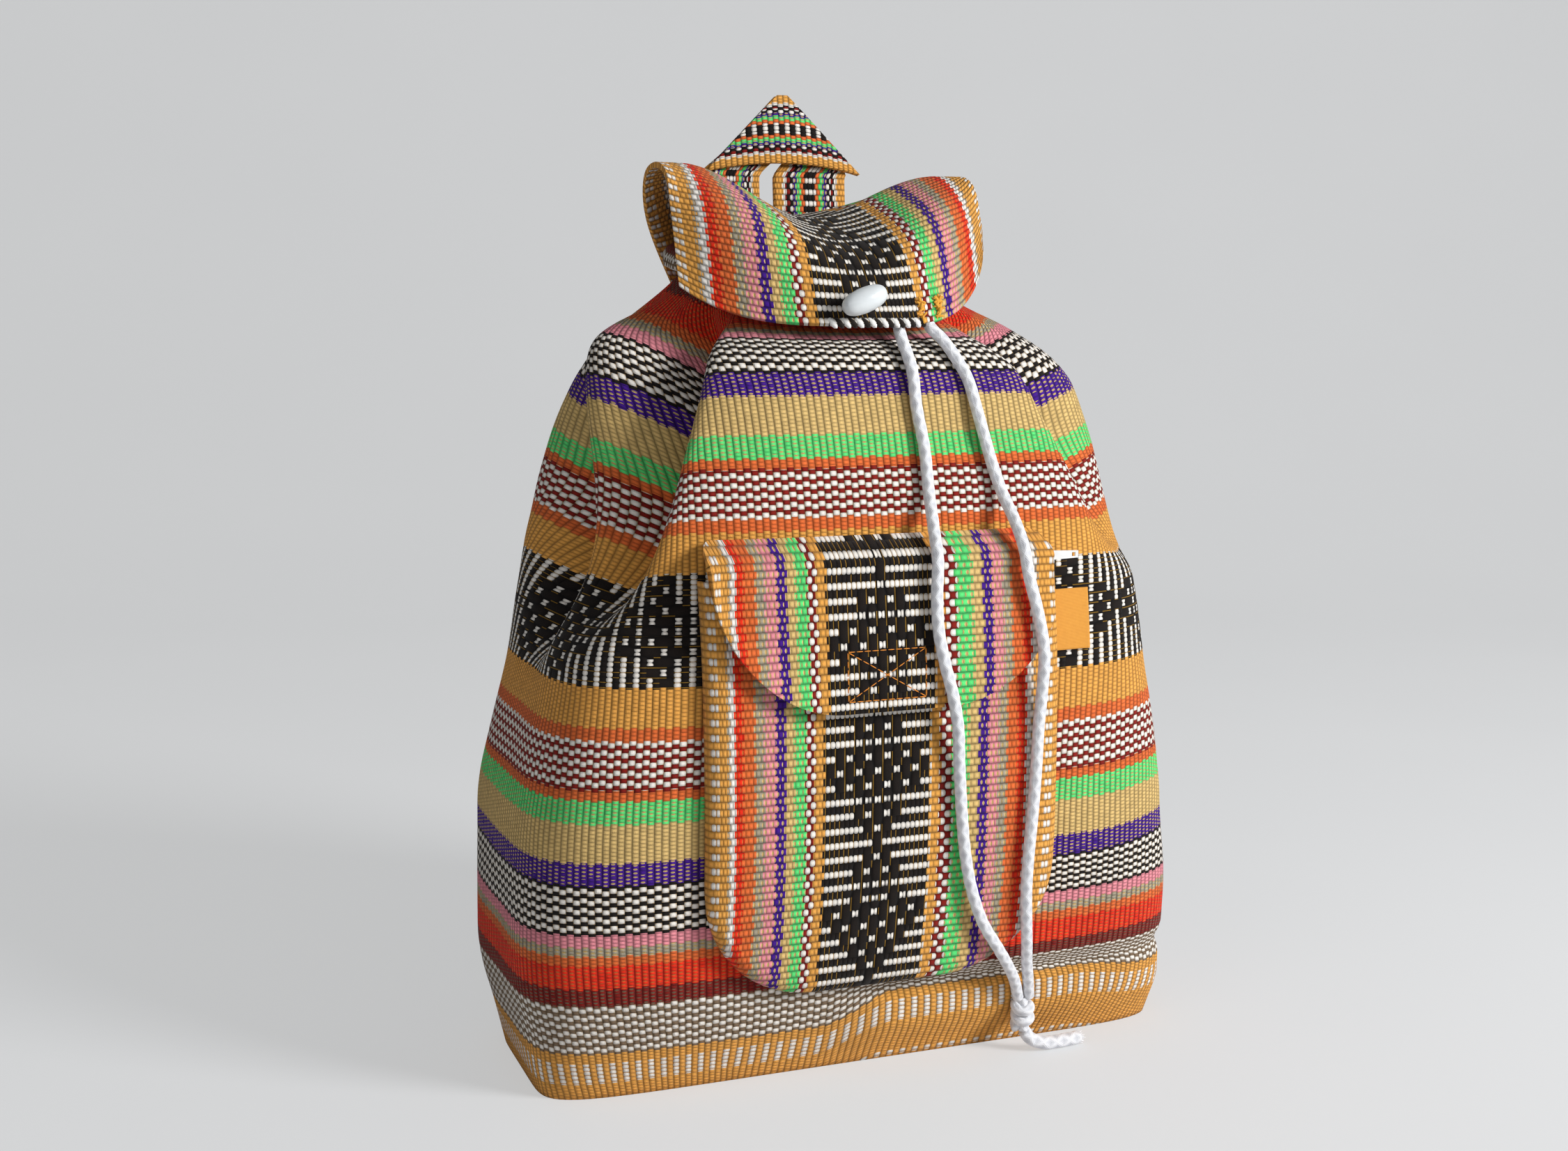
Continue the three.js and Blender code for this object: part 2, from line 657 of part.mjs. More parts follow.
function placedHangLoop() {
  const z = BAG_HEIGHT - LOOP_BELOW_RIM;
  const half = LOOP_GAP / 2 + BAND_WIDTH;
  const seat = Math.max(...span(LOOP_SHIFT - half, LOOP_SHIFT + half, 24).map((x) => bagY(x, z, 'back')));
  const mesh = piece('hang_loop', hangLoop(), COLOURS.band);
  mesh.rotation.set(radians(90 - LOOP_LEAN_BACK), 0, 0);
  mesh.position.set(LOOP_SHIFT, seat + SEAM + BAND_THICKNESS, z);
  return mesh;
}

// Shoulder straps: the same band from below the loop, slack behind the back, to the lower corners.
// The free run is given as shares of the bag's width, of the strap's height and of its slack
const STRAP_RUN = [
  { across: 0.12, up: 0.72, slack: 1 },
  { across: 0.25, up: 0.46, slack: 1.15 },
  { across: 0.32, up: 0.24, slack: 0.85 },
];

function shoulderStrap(side) {
  const top = BAG_HEIGHT - LOOP_BELOW_RIM - STRAP_BELOW_LOOP;
  const half = BAND_THICKNESS / 2 + SEAM;
  const topX = LOOP_GAP / 2 + BAND_WIDTH / 2;
  const [endX, endZ] = [BAG_WIDTH * STRAP_END_SHARE, STRAP_END_HEIGHT];
  const onBack = (x, z) => Math.max(...[-0.5, 0, 0.5].map((k) => bagY(x + k * BAND_WIDTH, z, 'back'))) + half;
  const free = STRAP_RUN.map(({ across, up, slack }) => {
    return [BAG_WIDTH * across, BAG_DEPTH / 2 + STRAP_SLACK * slack, top * up];
  });
  const points = [
    [topX, onBack(topX, top), top],
    [topX, onBack(topX, top - STRAP_LEAD) + STRAP_LIFT, top - STRAP_LEAD],
    ...free,
    [endX, onBack(endX, endZ + STRAP_LEAD) + STRAP_LIFT, endZ + STRAP_LEAD],
    [endX, onBack(endX, endZ), endZ],
  ];
  const path = new THREE.CatmullRomCurve3(points.map((p) => vector(...p)), false, 'centripetal');
  const profile = [[-1, -1], [1, -1], [1, 1], [-1, 1]].map(([x, y]) => new THREE.Vector2(x, y));
  const place = ({ x, y }, t) => {
    const along = path.getTangent(t);
    const across = vector(-along.z, 0, along.x).normalize();
    const out = across.clone().cross(along).normalize();
    const point = path.getPoint(t);
    point.addScaledVector(across, (x * BAND_WIDTH) / 2).addScaledVector(out, (y * BAND_THICKNESS) / 2);
    return point.multiply(vector(side, 1, 1));
  };
  return sweepSolid(profile, share(22), place);
}

// Front pocket

const POCKET_HALF = POCKET_WIDTH / 2;
const fromMiddle = (x) => Math.abs(x - POCKET_SHIFT);

// Lower edge of the pocket at a place across it, with round corners
function pocketEdge(x) {
  const over = Math.max(fromMiddle(x) - (POCKET_HALF - POCKET_CORNER), 0);
  return POCKET_BOTTOM + POCKET_CORNER - Math.sqrt(Math.max(POCKET_CORNER ** 2 - over ** 2, 0));
}

// Rounded rise of the pocket's edge at a distance in from it
function rolled(inwards) {
  const t = THREE.MathUtils.clamp(inwards / POCKET_ROLL, 0, 1);
  return Math.sqrt(1 - (1 - t) ** 2);
}

// Y of the pocket's back and front faces
function pocketBack(x, z) {
  const rise = rolled(POCKET_HALF - fromMiddle(x)) * rolled(z - pocketEdge(x));
  return bagY(x, z) - SEAM - POCKET_DEPTH * rise;
}
const pocketFront = (x, z) => pocketBack(x, z) - CLOTH;

// Columns across the pocket, closer together where its edge rolls over
const EDGE_COLUMNS = [0, 0.12, 0.4, 1];
const acrossPocket = (() => {
  const right = EDGE_COLUMNS.map((t) => POCKET_HALF - t * POCKET_ROLL);
  const left = right.map((x) => -x);
  const inner = POCKET_HALF - POCKET_ROLL;
  const columns = [...left, ...span(-inner, inner, 10).slice(1, -1), ...right.reverse()];
  return columns.map((x) => x + POCKET_SHIFT);
})();
const POCKET_ROWS = [0, 0.006, 0.02, 0.05, 0.1, 0.2, 0.32, 0.46, 0.6, 0.74, 0.88, 1];

function frontPocket() {
  return frontSheet(acrossPocket, POCKET_ROWS, pocketEdge, () => POCKET_TOP, pocketBack, CLOTH);
}

// Zip: two tapes with moulded coils on a straight line above the pocket

const ZIP_LINE = POCKET_TOP + ZIP_ABOVE_POCKET;
const ZIP_BACK = bagY(0, ZIP_LINE) - ZIP_STANDOFF;
const COIL_FRONT = ZIP_BACK - COIL_DEPTH;
const ZIP_ENDS = [-1, 1].map((side) => POCKET_SHIFT + side * (POCKET_HALF - ZIP_INSET));
const FLAP_SEAM_LINE = ZIP_LINE + TAPE_WIDTH + 2 * SEAM;

// Corners are (step out from the tape's back, height above the zip's line); the upper tape's hem
// is sewn down on the bag
function zipTape(side) {
  const near = COIL_SLIT / 2;
  const coil = near + COIL_WIDTH;
  const corner = (out, rise, hem = false) => Object.assign(new THREE.Vector2(out, rise), { hem });
  const profile = [
    corner(0, near),
    corner(COIL_DEPTH, near),
    corner(COIL_DEPTH, coil),
    corner(TAPE, coil),
    corner(TAPE, TAPE_WIDTH - TAPE_HEM),
    corner(TAPE, TAPE_WIDTH, true),
    corner(0, TAPE_WIDTH, true),
    corner(0, TAPE_WIDTH - TAPE_HEM),
  ];
  const place = ({ x: out, y: rise, hem }, x) => {
    const z = ZIP_LINE + side * rise;
    const back = hem && side > 0 ? bagY(x, z) - SEAM : ZIP_BACK;
    return vector(x, back - out, z);
  };
  return sweepSolid(profile, span(...ZIP_ENDS, 12), place);
}

// Metal stops crimped at the two ends of the coils
function zipStop(end) {
  const x = end < 0 ? ZIP_ENDS[0] - SEAM - STOP_LENGTH : ZIP_ENDS[1] + SEAM;
  const half = COIL_SLIT / 2 + COIL_WIDTH;
  const low = vector(x, COIL_FRONT - STOP_PROUD, ZIP_LINE - half);
  return boxBetween(low, vector(x + STOP_LENGTH, ZIP_BACK, ZIP_LINE + half));
}

// Slider: two plates joined by a neck in the slit, with lugs and a pin for the pull
const SLIDER_X = ZIP_ENDS[1] - SLIDER_LENGTH / 2 - SLIDER_FROM_END;
const SLIDER_FRONT = COIL_FRONT - SLIDER_FIT - SLIDER_PLATE;
const PULL_AXIS = SLIDER_FRONT - PULL_EYE / 2 - SLIDER_FIT;
const PULL_X = SLIDER_X + LUG_FORWARD;

function zipSlider() {
  const [half, wide] = [SLIDER_LENGTH / 2, SLIDER_WIDTH / 2];
  const plate = (front) => {
    const low = vector(SLIDER_X - half, front, ZIP_LINE - wide);
    return boxBetween(low, vector(SLIDER_X + half, front + SLIDER_PLATE, ZIP_LINE + wide));
  };
  const rear = ZIP_BACK + SLIDER_FIT;
  const neck = boxBetween(
    vector(SLIDER_X - half / 2, SLIDER_FRONT + SLIDER_PLATE / 2, ZIP_LINE - COIL_SLIT / 4),
    vector(SLIDER_X + half / 2, rear + SLIDER_PLATE / 2, ZIP_LINE + COIL_SLIT / 4),
  );
  const inner = PULL_WIDTH / 2 + SLIDER_FIT;
  const lug = (side) => {
    const [low, high] = [inner, wide].map((z) => side * z).sort((a, b) => a - b);
    return boxBetween(
      vector(PULL_X - PULL_PIN, PULL_AXIS - PULL_PIN, ZIP_LINE + low),
      vector(PULL_X + PULL_PIN, SLIDER_FRONT + SLIDER_PLATE / 2, ZIP_LINE + high),
    );
  };
  const pin = new THREE.CylinderGeometry(PULL_PIN / 2, PULL_PIN / 2, inner + wide, 12);
  pin.rotateX(radians(90)).translate(PULL_X, PULL_AXIS, ZIP_LINE);
  return joined(plate(SLIDER_FRONT), plate(rear), neck, lug(-1), lug(1), pin);
}

// Pull: an eye round the pin and a flat tapered tab with a square hole near its tip
function zipPull() {
  const eye = PULL_EYE / 2;
  const bore = PULL_PIN / 2 + SLIDER_FIT;
  const ring = new THREE.Shape().absarc(0, 0, eye, 0, 2 * Math.PI);
  ring.holes.push(new THREE.Path().absarc(0, 0, bore, 0, 2 * Math.PI, true));
  const wide = { depth: PULL_WIDTH, bevelEnabled: false, curveSegments: 8 };
  const barrel = new THREE.ExtrudeGeometry(ring, wide);
  barrel.translate(0, 0, -PULL_WIDTH / 2);
  const [root, tip] = [PULL_WIDTH / 2, PULL_TIP / 2];
  const start = (eye + bore) / 2;
  const tab = new THREE.Shape([
    new THREE.Vector2(start, -root),
    new THREE.Vector2(PULL_LENGTH - eye, -tip),
    new THREE.Vector2(PULL_LENGTH - eye, tip),
    new THREE.Vector2(start, root),
  ]);
  const hole = PULL_HOLE / 2;
  const window = new THREE.Path();
  const middle = PULL_LENGTH - eye - PULL_HOLE_FROM_TIP;
  [[-1, -1], [-1, 1], [1, 1], [1, -1]].forEach(([x, y], k) => {
    window[k ? 'lineTo' : 'moveTo'](middle + x * hole, y * hole);
  });
  tab.holes.push(window);
  const blade = new THREE.ExtrudeGeometry(tab, { depth: PULL_THICKNESS, bevelEnabled: false });
  blade.translate(0, 0, -PULL_THICKNESS / 2).rotateX(radians(90));
  return joined(barrel, blade).translate(PULL_X, PULL_AXIS, ZIP_LINE);
}

// Pocket flap: sewn above the zip, arched over it and hanging on the pocket

const FLAP_TOP = FLAP_SEAM_LINE + POCKET_FLAP_SEAM;
const FLAP_STACK = 2 * PATCH_THICKNESS + 3 * SEAM;
const PULL_RISE = PULL_LENGTH * Math.sin(radians(PULL_SWING)) + PULL_THICKNESS;
const FLAP_CLEAR = PULL_AXIS - Math.max(PULL_RISE, PULL_PIN) - 2 * SEAM;

function pocketFlapEdge(x) {
  const straight = POCKET_HALF - POCKET_FLAP_CORNER_WIDTH;
  const t = THREE.MathUtils.clamp((fromMiddle(x) - straight) / POCKET_FLAP_CORNER_WIDTH, 0, 1);
  return FLAP_TOP - POCKET_FLAP_LENGTH + POCKET_FLAP_CORNER_HEIGHT * (1 - Math.sqrt(1 - t ** 2));
}

// Y of the flap's back face
function pocketFlapBack(x, z) {
  const onPocket = Math.min(z, POCKET_TOP);
  const hang = Math.min(pocketFront(x, onPocket) - FLAP_STACK, FLAP_CLEAR);
  const over = THREE.MathUtils.clamp((z - FLAP_SEAM_LINE + POCKET_FLAP_ARCH) / POCKET_FLAP_ARCH, 0, 1);
  const sewn = bagY(x, z) - SEAM;
  return THREE.MathUtils.lerp(sewn, hang, Math.sqrt(1 - over ** 2));
}

// Rows down the flap: the sewn edge, the arch over the zip as shares of it, and the hanging part
const ARCH_ROWS = [0, 0.35, 0.65, 0.88, 1];

function pocketFlap() {
  const turn = POCKET_FLAP_SEAM + POCKET_FLAP_ARCH;
  const hang = FLAP_TOP - turn;
  const skin = (offset) => (x, row) => {
    const low = Math.min(pocketFlapEdge(x), hang - POCKET_FLAP_SHORTEST);
    const z = row <= turn ? FLAP_TOP - row : THREE.MathUtils.lerp(hang, low, row - turn);
    return vector(x, pocketFlapBack(x, z) - offset, z);
  };
  const arch = ARCH_ROWS.map((t) => POCKET_FLAP_SEAM + t * POCKET_FLAP_ARCH);
  const below = span(0, 1, 6).slice(1).map((t) => turn + t);
  const columns = span(POCKET_SHIFT - POCKET_HALF, POCKET_SHIFT + POCKET_HALF, 18);
  return skinSolid(columns, [0, ...arch, ...below], skin(CLOTH), skin(0));
}

// Hook and loop patches behind the flap's stitched box
const PATCH_LOW = FLAP_TOP - POCKET_FLAP_LENGTH + PATCH_ABOVE_EDGE;

function patch(rest) {
  const middle = POCKET_SHIFT + PATCH_SHIFT;
  const xs = span(middle - PATCH_WIDTH / 2, middle + PATCH_WIDTH / 2, 4);
  return frontSheet(xs, share(3), () => PATCH_LOW, () => PATCH_LOW + PATCH_HEIGHT, rest, PATCH_THICKNESS);
}
const loopPatch = () => patch((x, z) => pocketFront(x, z) - SEAM);
const hookPatch = () => patch((x, z) => pocketFlapBack(x, z) + SEAM + PATCH_THICKNESS);

// Bare label tab sewn into the pocket's right edge
function labelTab() {
  const top = POCKET_TOP - LABEL_BELOW_POCKET_TOP;
  const left = POCKET_SHIFT + POCKET_HALF + SEAM;
  const xs = span(left, left + LABEL_WIDTH, 4);
  const rest = (x, z) => bagY(x, z) - SEAM;
  return frontSheet(xs, share(3), () => top - LABEL_HEIGHT, () => top, rest, LABEL_THICKNESS);
}

// The model

function piece(name, geometry, color, roughness = 0.9, metalness = 0) {
  const mesh = new THREE.Mesh(geometry, new THREE.MeshStandardMaterial({ color, roughness, metalness }));
  mesh.name = name;
  return mesh;
}

const backpack = new THREE.Group();
backpack.name = 'backpack';

const shell = new THREE.Group();
shell.add(piece('bag_body', bagBody(), COLOURS.cloth));
shell.add(piece('neck_casing', neckCasing(), COLOURS.cloth));
shell.add(piece('top_flap', topFlap(), COLOURS.pocket));
shell.add(piece('toggle_bead', toggleBead(), COLOURS.bead, 0.35));
shell.add(piece('toggle_shank', toggleShank(), COLOURS.cord));

const carrying = new THREE.Group();
carrying.add(placedHangLoop());
carrying.add(piece('shoulder_strap_left', shoulderStrap(-1), COLOURS.band));
carrying.add(piece('shoulder_strap_right', shoulderStrap(1), COLOURS.band));

const pocket = new THREE.Group();
pocket.add(piece('front_pocket', frontPocket(), COLOURS.pocket));
pocket.add(piece('pocket_flap', pocketFlap(), COLOURS.pocket));
pocket.add(piece('pocket_loop_patch', loopPatch(), COLOURS.patch));
pocket.add(piece('flap_hook_patch', hookPatch(), COLOURS.patch));
pocket.add(piece('label_tab', labelTab(), COLOURS.label));

const zip = new THREE.Group();
zip.add(piece('zip_tape_upper', zipTape(1), COLOURS.tape));
zip.add(piece('zip_tape_lower', zipTape(-1), COLOURS.tape));
zip.add(piece('zip_stop_left', zipStop(-1), COLOURS.metal, 0.4, 0.6));
zip.add(piece('zip_stop_right', zipStop(1), COLOURS.metal, 0.4, 0.6));
zip.add(piece('zip_slider', zipSlider(), COLOURS.metal, 0.35, 0.4));
zip.add(piece('zip_pull', zipPull(), COLOURS.metal, 0.35, 0.1));

const drawcord = new THREE.Group();
drawcord.add(piece('drawcord_neck', drawcordNeck(), COLOURS.cord));
drawcord.add(piece('drawcord_left_tail', drawcordTail(LEFT_TAIL), COLOURS.cord));
drawcord.add(piece('drawcord_right_tail', drawcordTail(RIGHT_TAIL), COLOURS.cord));
drawcord.add(piece('drawcord_knot', drawcordKnot(), COLOURS.cord));
drawcord.add(piece('drawcord_end', drawcordEnd(), COLOURS.cord));

backpack.add(shell, carrying, pocket, zip, drawcord);

export default backpack;
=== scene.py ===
# %% [markdown]
# # A handwoven backpack
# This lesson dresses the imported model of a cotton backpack: ribbed cloth with striped yarns,
# a braided drawcord, a stitched pocket and a mitred hang loop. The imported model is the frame:
# every piece made here goes where its solid is, in metres, with +Z up and the front facing -Y.

import math
from functools import lru_cache, partialmethod

import bmesh
import bpy
from mathutils import Matrix, Vector, noise


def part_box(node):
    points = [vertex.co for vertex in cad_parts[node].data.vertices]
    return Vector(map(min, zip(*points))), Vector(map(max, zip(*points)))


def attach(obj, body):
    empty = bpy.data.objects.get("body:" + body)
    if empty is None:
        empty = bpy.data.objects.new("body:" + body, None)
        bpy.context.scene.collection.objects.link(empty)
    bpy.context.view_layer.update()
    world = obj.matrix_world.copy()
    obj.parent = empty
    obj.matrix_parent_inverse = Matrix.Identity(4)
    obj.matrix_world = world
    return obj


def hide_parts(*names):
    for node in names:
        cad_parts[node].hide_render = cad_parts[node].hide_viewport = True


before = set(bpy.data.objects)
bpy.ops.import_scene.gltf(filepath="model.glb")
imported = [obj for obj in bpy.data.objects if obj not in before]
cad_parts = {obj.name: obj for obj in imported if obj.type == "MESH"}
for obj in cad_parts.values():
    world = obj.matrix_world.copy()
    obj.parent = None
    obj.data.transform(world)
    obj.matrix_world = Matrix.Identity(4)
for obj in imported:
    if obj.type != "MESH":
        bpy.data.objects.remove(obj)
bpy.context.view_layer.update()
MM = 0.001

# %% [markdown]
# ## Camera
# The camera stands a metre away, to the left of the bag and a little below its neck, and looks
# slightly down. A camera looks along its own -Z, so its turn comes from that one direction.

# %% Camera
CAMERA_AT = Vector((-0.37611, -0.92677, 0.385))
CAMERA_LOOK = Vector((0.3551, 0.9251, -0.1349))
LENS = 43.36
SENSOR = 36

scene = bpy.context.scene
scene.view_settings.view_transform = "Standard"
lens = bpy.data.cameras.new("camera")
lens.sensor_fit = "HORIZONTAL"
lens.sensor_width = SENSOR
lens.lens = LENS
camera = bpy.data.objects.new("camera", lens)
camera.location = CAMERA_AT
camera.rotation_euler = CAMERA_LOOK.to_track_quat("-Z", "Y").to_euler()
scene.collection.objects.link(camera)
scene.camera = camera
print("camera at", tuple(CAMERA_AT), "lens", lens.lens)

# %% [markdown]
# ## Shader sums as Python
# A woven cloth is mostly counting: which rib, which pick, odd or even. Wired by hand that is
# dozens of Math nodes, so one small class wraps a socket and lets Python's own operators add
# them. A second class holds one material and makes every other node with a single method.


# %% Wires
class Wire:
    """One socket of a material; arithmetic on it adds Math nodes."""

    def __init__(self, paint, socket):
        self.paint = paint
        self.socket = socket

    def math(self, operation, *others):
        return self.paint.node("ShaderNodeMath", {"operation": operation}, (self, *others))

    def __rsub__(self, other):
        return self.paint.node("ShaderNodeMath", {"operation": "SUBTRACT"}, (other, self))

    def output(self, name):
        """Another output of the node that this wire comes from."""
        return Wire(self.paint, self.socket.node.outputs[name])

    __add__ = __radd__ = partialmethod(math, "ADD")
    __sub__ = partialmethod(math, "SUBTRACT")
    __mul__ = __rmul__ = partialmethod(math, "MULTIPLY")
    __truediv__ = partialmethod(math, "DIVIDE")
    __mod__ = partialmethod(math, "FLOORED_MODULO")
    __pow__ = partialmethod(math, "POWER")
    __abs__ = partialmethod(math, "ABSOLUTE")
    __gt__ = partialmethod(math, "GREATER_THAN")
    __lt__ = partialmethod(math, "LESS_THAN")


print("wires ready")


# %% Paints
class Paint:
    """One material: a Principled shader and the nodes that feed it."""

    def __init__(self, name, roughness, **constants):
        self.material = bpy.data.materials.new(name)
        self.material.use_nodes = True
        self.tree = self.material.node_tree
        self.shader = self.tree.nodes["Principled BSDF"]
        self.shader.inputs["Roughness"].default_value = roughness
        for socket, value in constants.items():
            self.shader.inputs[socket.replace("_", " ")].default_value = value

    def put(self, socket, value):
        if isinstance(value, Wire):
            self.tree.links.new(value.socket, socket)
        else:
            socket.default_value = value

    def node(self, kind, settings=None, inputs=(), output=0):
        node = self.tree.nodes.new(kind)
        for key, value in (settings or {}).items():
            if key == "stops":
                set_stops(node.color_ramp, value)
            else:
                setattr(node, key, value)
        named = inputs.items() if isinstance(inputs, dict) else enumerate(inputs)
        for key, value in named:
            self.put(node.inputs[key], value)
        return Wire(self, node.outputs[output])

    def mix(self, factor, first, second):
        return self.node("ShaderNodeMix", {"data_type": "RGBA"}, {0: factor, 6: first, 7: second}, 2)

    def dim(self, colour, amount):
        return self.node("ShaderNodeVectorMath", {"operation": "SCALE"}, {0: colour, "Scale": amount})

    def speckle(self, where, scale, detail=2.0):
        return self.node("ShaderNodeTexNoise", {}, {"Vector": where, "Scale": scale, "Detail": detail})

    def object_place(self):
        return self.node("ShaderNodeTexCoord", {}, (), "Object")

    def weave_map(self):
        """The piece's own map: the pair of numbers, and each of the two."""
        pair = self.node("ShaderNodeUVMap", {"uv_map": "weave"})
        first = self.node("ShaderNodeSeparateXYZ", {}, (pair,))
        return pair, first, first.output("Y")

    def bump(self, strength, distance, height):
        inputs = {"Strength": strength, "Distance": distance, "Height": height}
        return self.node("ShaderNodeBump", {}, inputs)

    def shade(self, **links):
        for socket, value in links.items():
            self.put(self.shader.inputs[socket.replace("_", " ")], value)
        return self.material


print("paints ready")


# %% Ramps and colours
def set_stops(ramp, stops):
    ramp.interpolation = "CONSTANT"
    while len(ramp.elements) < len(stops):
        ramp.elements.new(1.0)
    for element, (place, colour) in zip(ramp.elements, stops):
        element.position = place
        element.color = colour


def linear(code):
    """A colour written as six hexadecimal digits, in the linear values that shaders use."""
    parts = [int(code[k : k + 2], 16) / 255 for k in (0, 2, 4)]
    return tuple(c / 12.92 if c < 0.04045 else ((c + 0.055) / 1.055) ** 2.4 for c in parts) + (1.0,)


print("middle grey in a shader:", round(linear("808080")[0], 3))

# %% [markdown]
# ## From bmesh to piece
# Every piece here is drawn in a bmesh and then turned into an object. It sits at the origin,
# since its points are already in their place in the frame.


# %% From bmesh to piece
def finished(bm, name, material):
    """Turn a bmesh into a smooth object that sits at the origin."""
    for face in bm.faces:
        face.smooth = True
    mesh = bpy.data.meshes.new(name)
    bm.to_mesh(mesh)
    bm.free()
    mesh.materials.append(material)
    piece = bpy.data.objects.new(name, mesh)
    scene.collection.objects.link(piece)
    return piece


print("pieces can be finished")

# %% [markdown]
# ## Studio
# A pale floor runs up into a pale wall in one soft curve, so no horizon cuts behind the bag.
# It starts as a one-face grid; the far edge is extruded upwards and the corner is bevelled.
# A large lamp at the right gives the light a direction. A weak one at the left and the sky
# fill the shadows.

# %% Floor and wall
FLOOR_HALF = 3.0
WALL_HEIGHT = 4.0
WALL_CURVE = 1.6
PAPER_GLOW = 0.55


def sweep_backdrop():
    bm = bmesh.new()
    bmesh.ops.create_grid(bm, x_segments=1, y_segments=1, size=FLOOR_HALF)
    far = [e for e in bm.edges if all(v.co.y > 0 for v in e.verts)]
    risen = bmesh.ops.extrude_edge_only(bm, edges=far)["geom"]
    top = [v for v in risen if isinstance(v, bmesh.types.BMVert)]
    bmesh.ops.translate(bm, verts=top, vec=(0, 0, WALL_HEIGHT))
    bmesh.ops.bevel(
        bm, geom=far, offset=WALL_CURVE, segments=24, profile=0.5, affect="EDGES", material=-1
    )
    turn = math.atan2(-CAMERA_LOOK.x, CAMERA_LOOK.y)
    bmesh.ops.rotate(bm, verts=bm.verts, matrix=Matrix.Rotation(turn, 3, "Z"))
    return finished(bm, "backdrop", pale_paper())


def pale_paper():
    """Paper that keeps the shadow on it, and looks paler straight from the camera."""
    paint = Paint("backdrop_paper", 0.95, Specular_IOR_Level=0.1)
    grain = paint.speckle(paint.object_place(), 3.0)
    paint.shade(Base_Color=paint.mix(grain, linear("d9dadd"), linear("e2e3e5")))
    path = paint.node("ShaderNodeLightPath", {}, (), "Is Camera Ray")
    glossy, through = path.output("Is Glossy Ray"), path.output("Is Transmission Ray")
    seen = path.math("MAXIMUM", glossy.math("MAXIMUM", through))
    glow = paint.node("ShaderNodeEmission", {}, {"Color": linear("eceded"), "Strength": 1.0})
    body = Wire(paint, paint.shader.outputs["BSDF"])
    both = paint.node("ShaderNodeMixShader", {}, {0: seen * PAPER_GLOW, 1: body, 2: glow})
    paint.put(paint.tree.nodes["Material Output"].inputs["Surface"], both)
    return paint.material


backdrop = sweep_backdrop()
print("backdrop faces:", len(backdrop.data.polygons))

# %% Lamps
KEY_AT = Vector((1.4, -1.65, 1.15))
FILL_AT = Vector((-1.7, -1.3, 1.0))
AIM = Vector((0.0, 0.0, 0.2))
SKY_STRENGTH = 0.22


def soft_lamp(name, place, size, power):
    lamp = bpy.data.lights.new(name, "AREA")
    lamp.shape = "DISK"
    lamp.size = size
    lamp.energy = power
    lamp_object = bpy.data.objects.new(name, lamp)
    lamp_object.location = place
    lamp_object.rotation_euler = (AIM - place).to_track_quat("-Z", "Y").to_euler()
    scene.collection.objects.link(lamp_object)


soft_lamp("key_lamp", KEY_AT, size=0.8, power=57)
soft_lamp("fill_lamp", FILL_AT, size=1.4, power=5)
world = bpy.data.worlds.new("studio")
world.use_nodes = True
sky = world.node_tree.nodes["Background"]
sky.inputs["Color"].default_value = (0.95, 0.97, 1.0, 1.0)
sky.inputs["Strength"].default_value = SKY_STRENGTH
scene.world = world
print("lamps at", tuple(KEY_AT), "and", tuple(FILL_AT))

# %% [markdown]
# ## Braided cotton cord
# The drawcord is a white cotton braid: strands cross one another on the slant, so its outline
# is slightly knobbly. A plain curve with a bevel would be smooth, so each cord is a tube of
# rings along its route, and every ring's radius rises where a strand passes over.
# A smooth line goes through the points of the route, spaced evenly.

# %% A smooth line through points
FINE_STEPS = 2000


def hermite(a, slope_a, b, slope_b, t):
    """From a to b with a slope at each end; a and b are numbers or places."""
    return (
        a * (2 * t**3 - 3 * t**2 + 1)
        + slope_a * (t**3 - 2 * t**2 + t)
        + b * (3 * t**2 - 2 * t**3)
        + slope_b * (t**3 - t**2)
    )


def smooth_line(points, t):
    """A point at share t of a curve through the points that doesn't overshoot between them."""
    span = t * (len(points) - 1)
    i = min(int(span), len(points) - 2)
    p1, p2 = points[i], points[i + 1]
    p0 = points[i - 1] if i > 0 else 2 * p1 - p2
    p3 = points[i + 2] if i + 2 < len(points) else 2 * p2 - p1
    gaps = [max((b - a).length, 1e-9) ** 0.5 for a, b in ((p0, p1), (p1, p2), (p2, p3))]
    m1 = (p1 - p0) / gaps[0] - (p2 - p0) / (gaps[0] + gaps[1]) + (p2 - p1) / gaps[1]
    m2 = (p2 - p1) / gaps[1] - (p3 - p1) / (gaps[1] + gaps[2]) + (p3 - p2) / gaps[2]
    return hermite(p1, m1 * gaps[1], p2, m2 * gaps[1], span - i)


def even_line(points, step):
    """The same curve as points about one step apart."""
    fine = [smooth_line(points, k / FINE_STEPS) for k in range(FINE_STEPS + 1)]
    along = [0.0]
    for a, b in zip(fine, fine[1:]):
        along.append(along[-1] + (b - a).length)
    count = max(2, round(along[-1] / step))
    line, k = [], 0
    for i in range(count + 1):
        want = along[-1] * i / count
        while k < len(fine) - 2 and along[k + 1] < want:
            k += 1
        gap = max(along[k + 1] - along[k], 1e-12)
        line.append(fine[k].lerp(fine[k + 1], (want - along[k]) / gap))
    return line


def length_of(line):
    return sum((b - a).length for a, b in zip(line, line[1:]))


def mm(*points):
    return [Vector(p) * MM for p in points]


print("line helpers ready")

# %% Braid
CORD = 6 * MM
BRAID_PITCH = 16 * MM
BRAID_STRANDS = 6
KNOBBLY = 0.045
RING_SIDES = 20
RING_STEP = 0.9 * MM


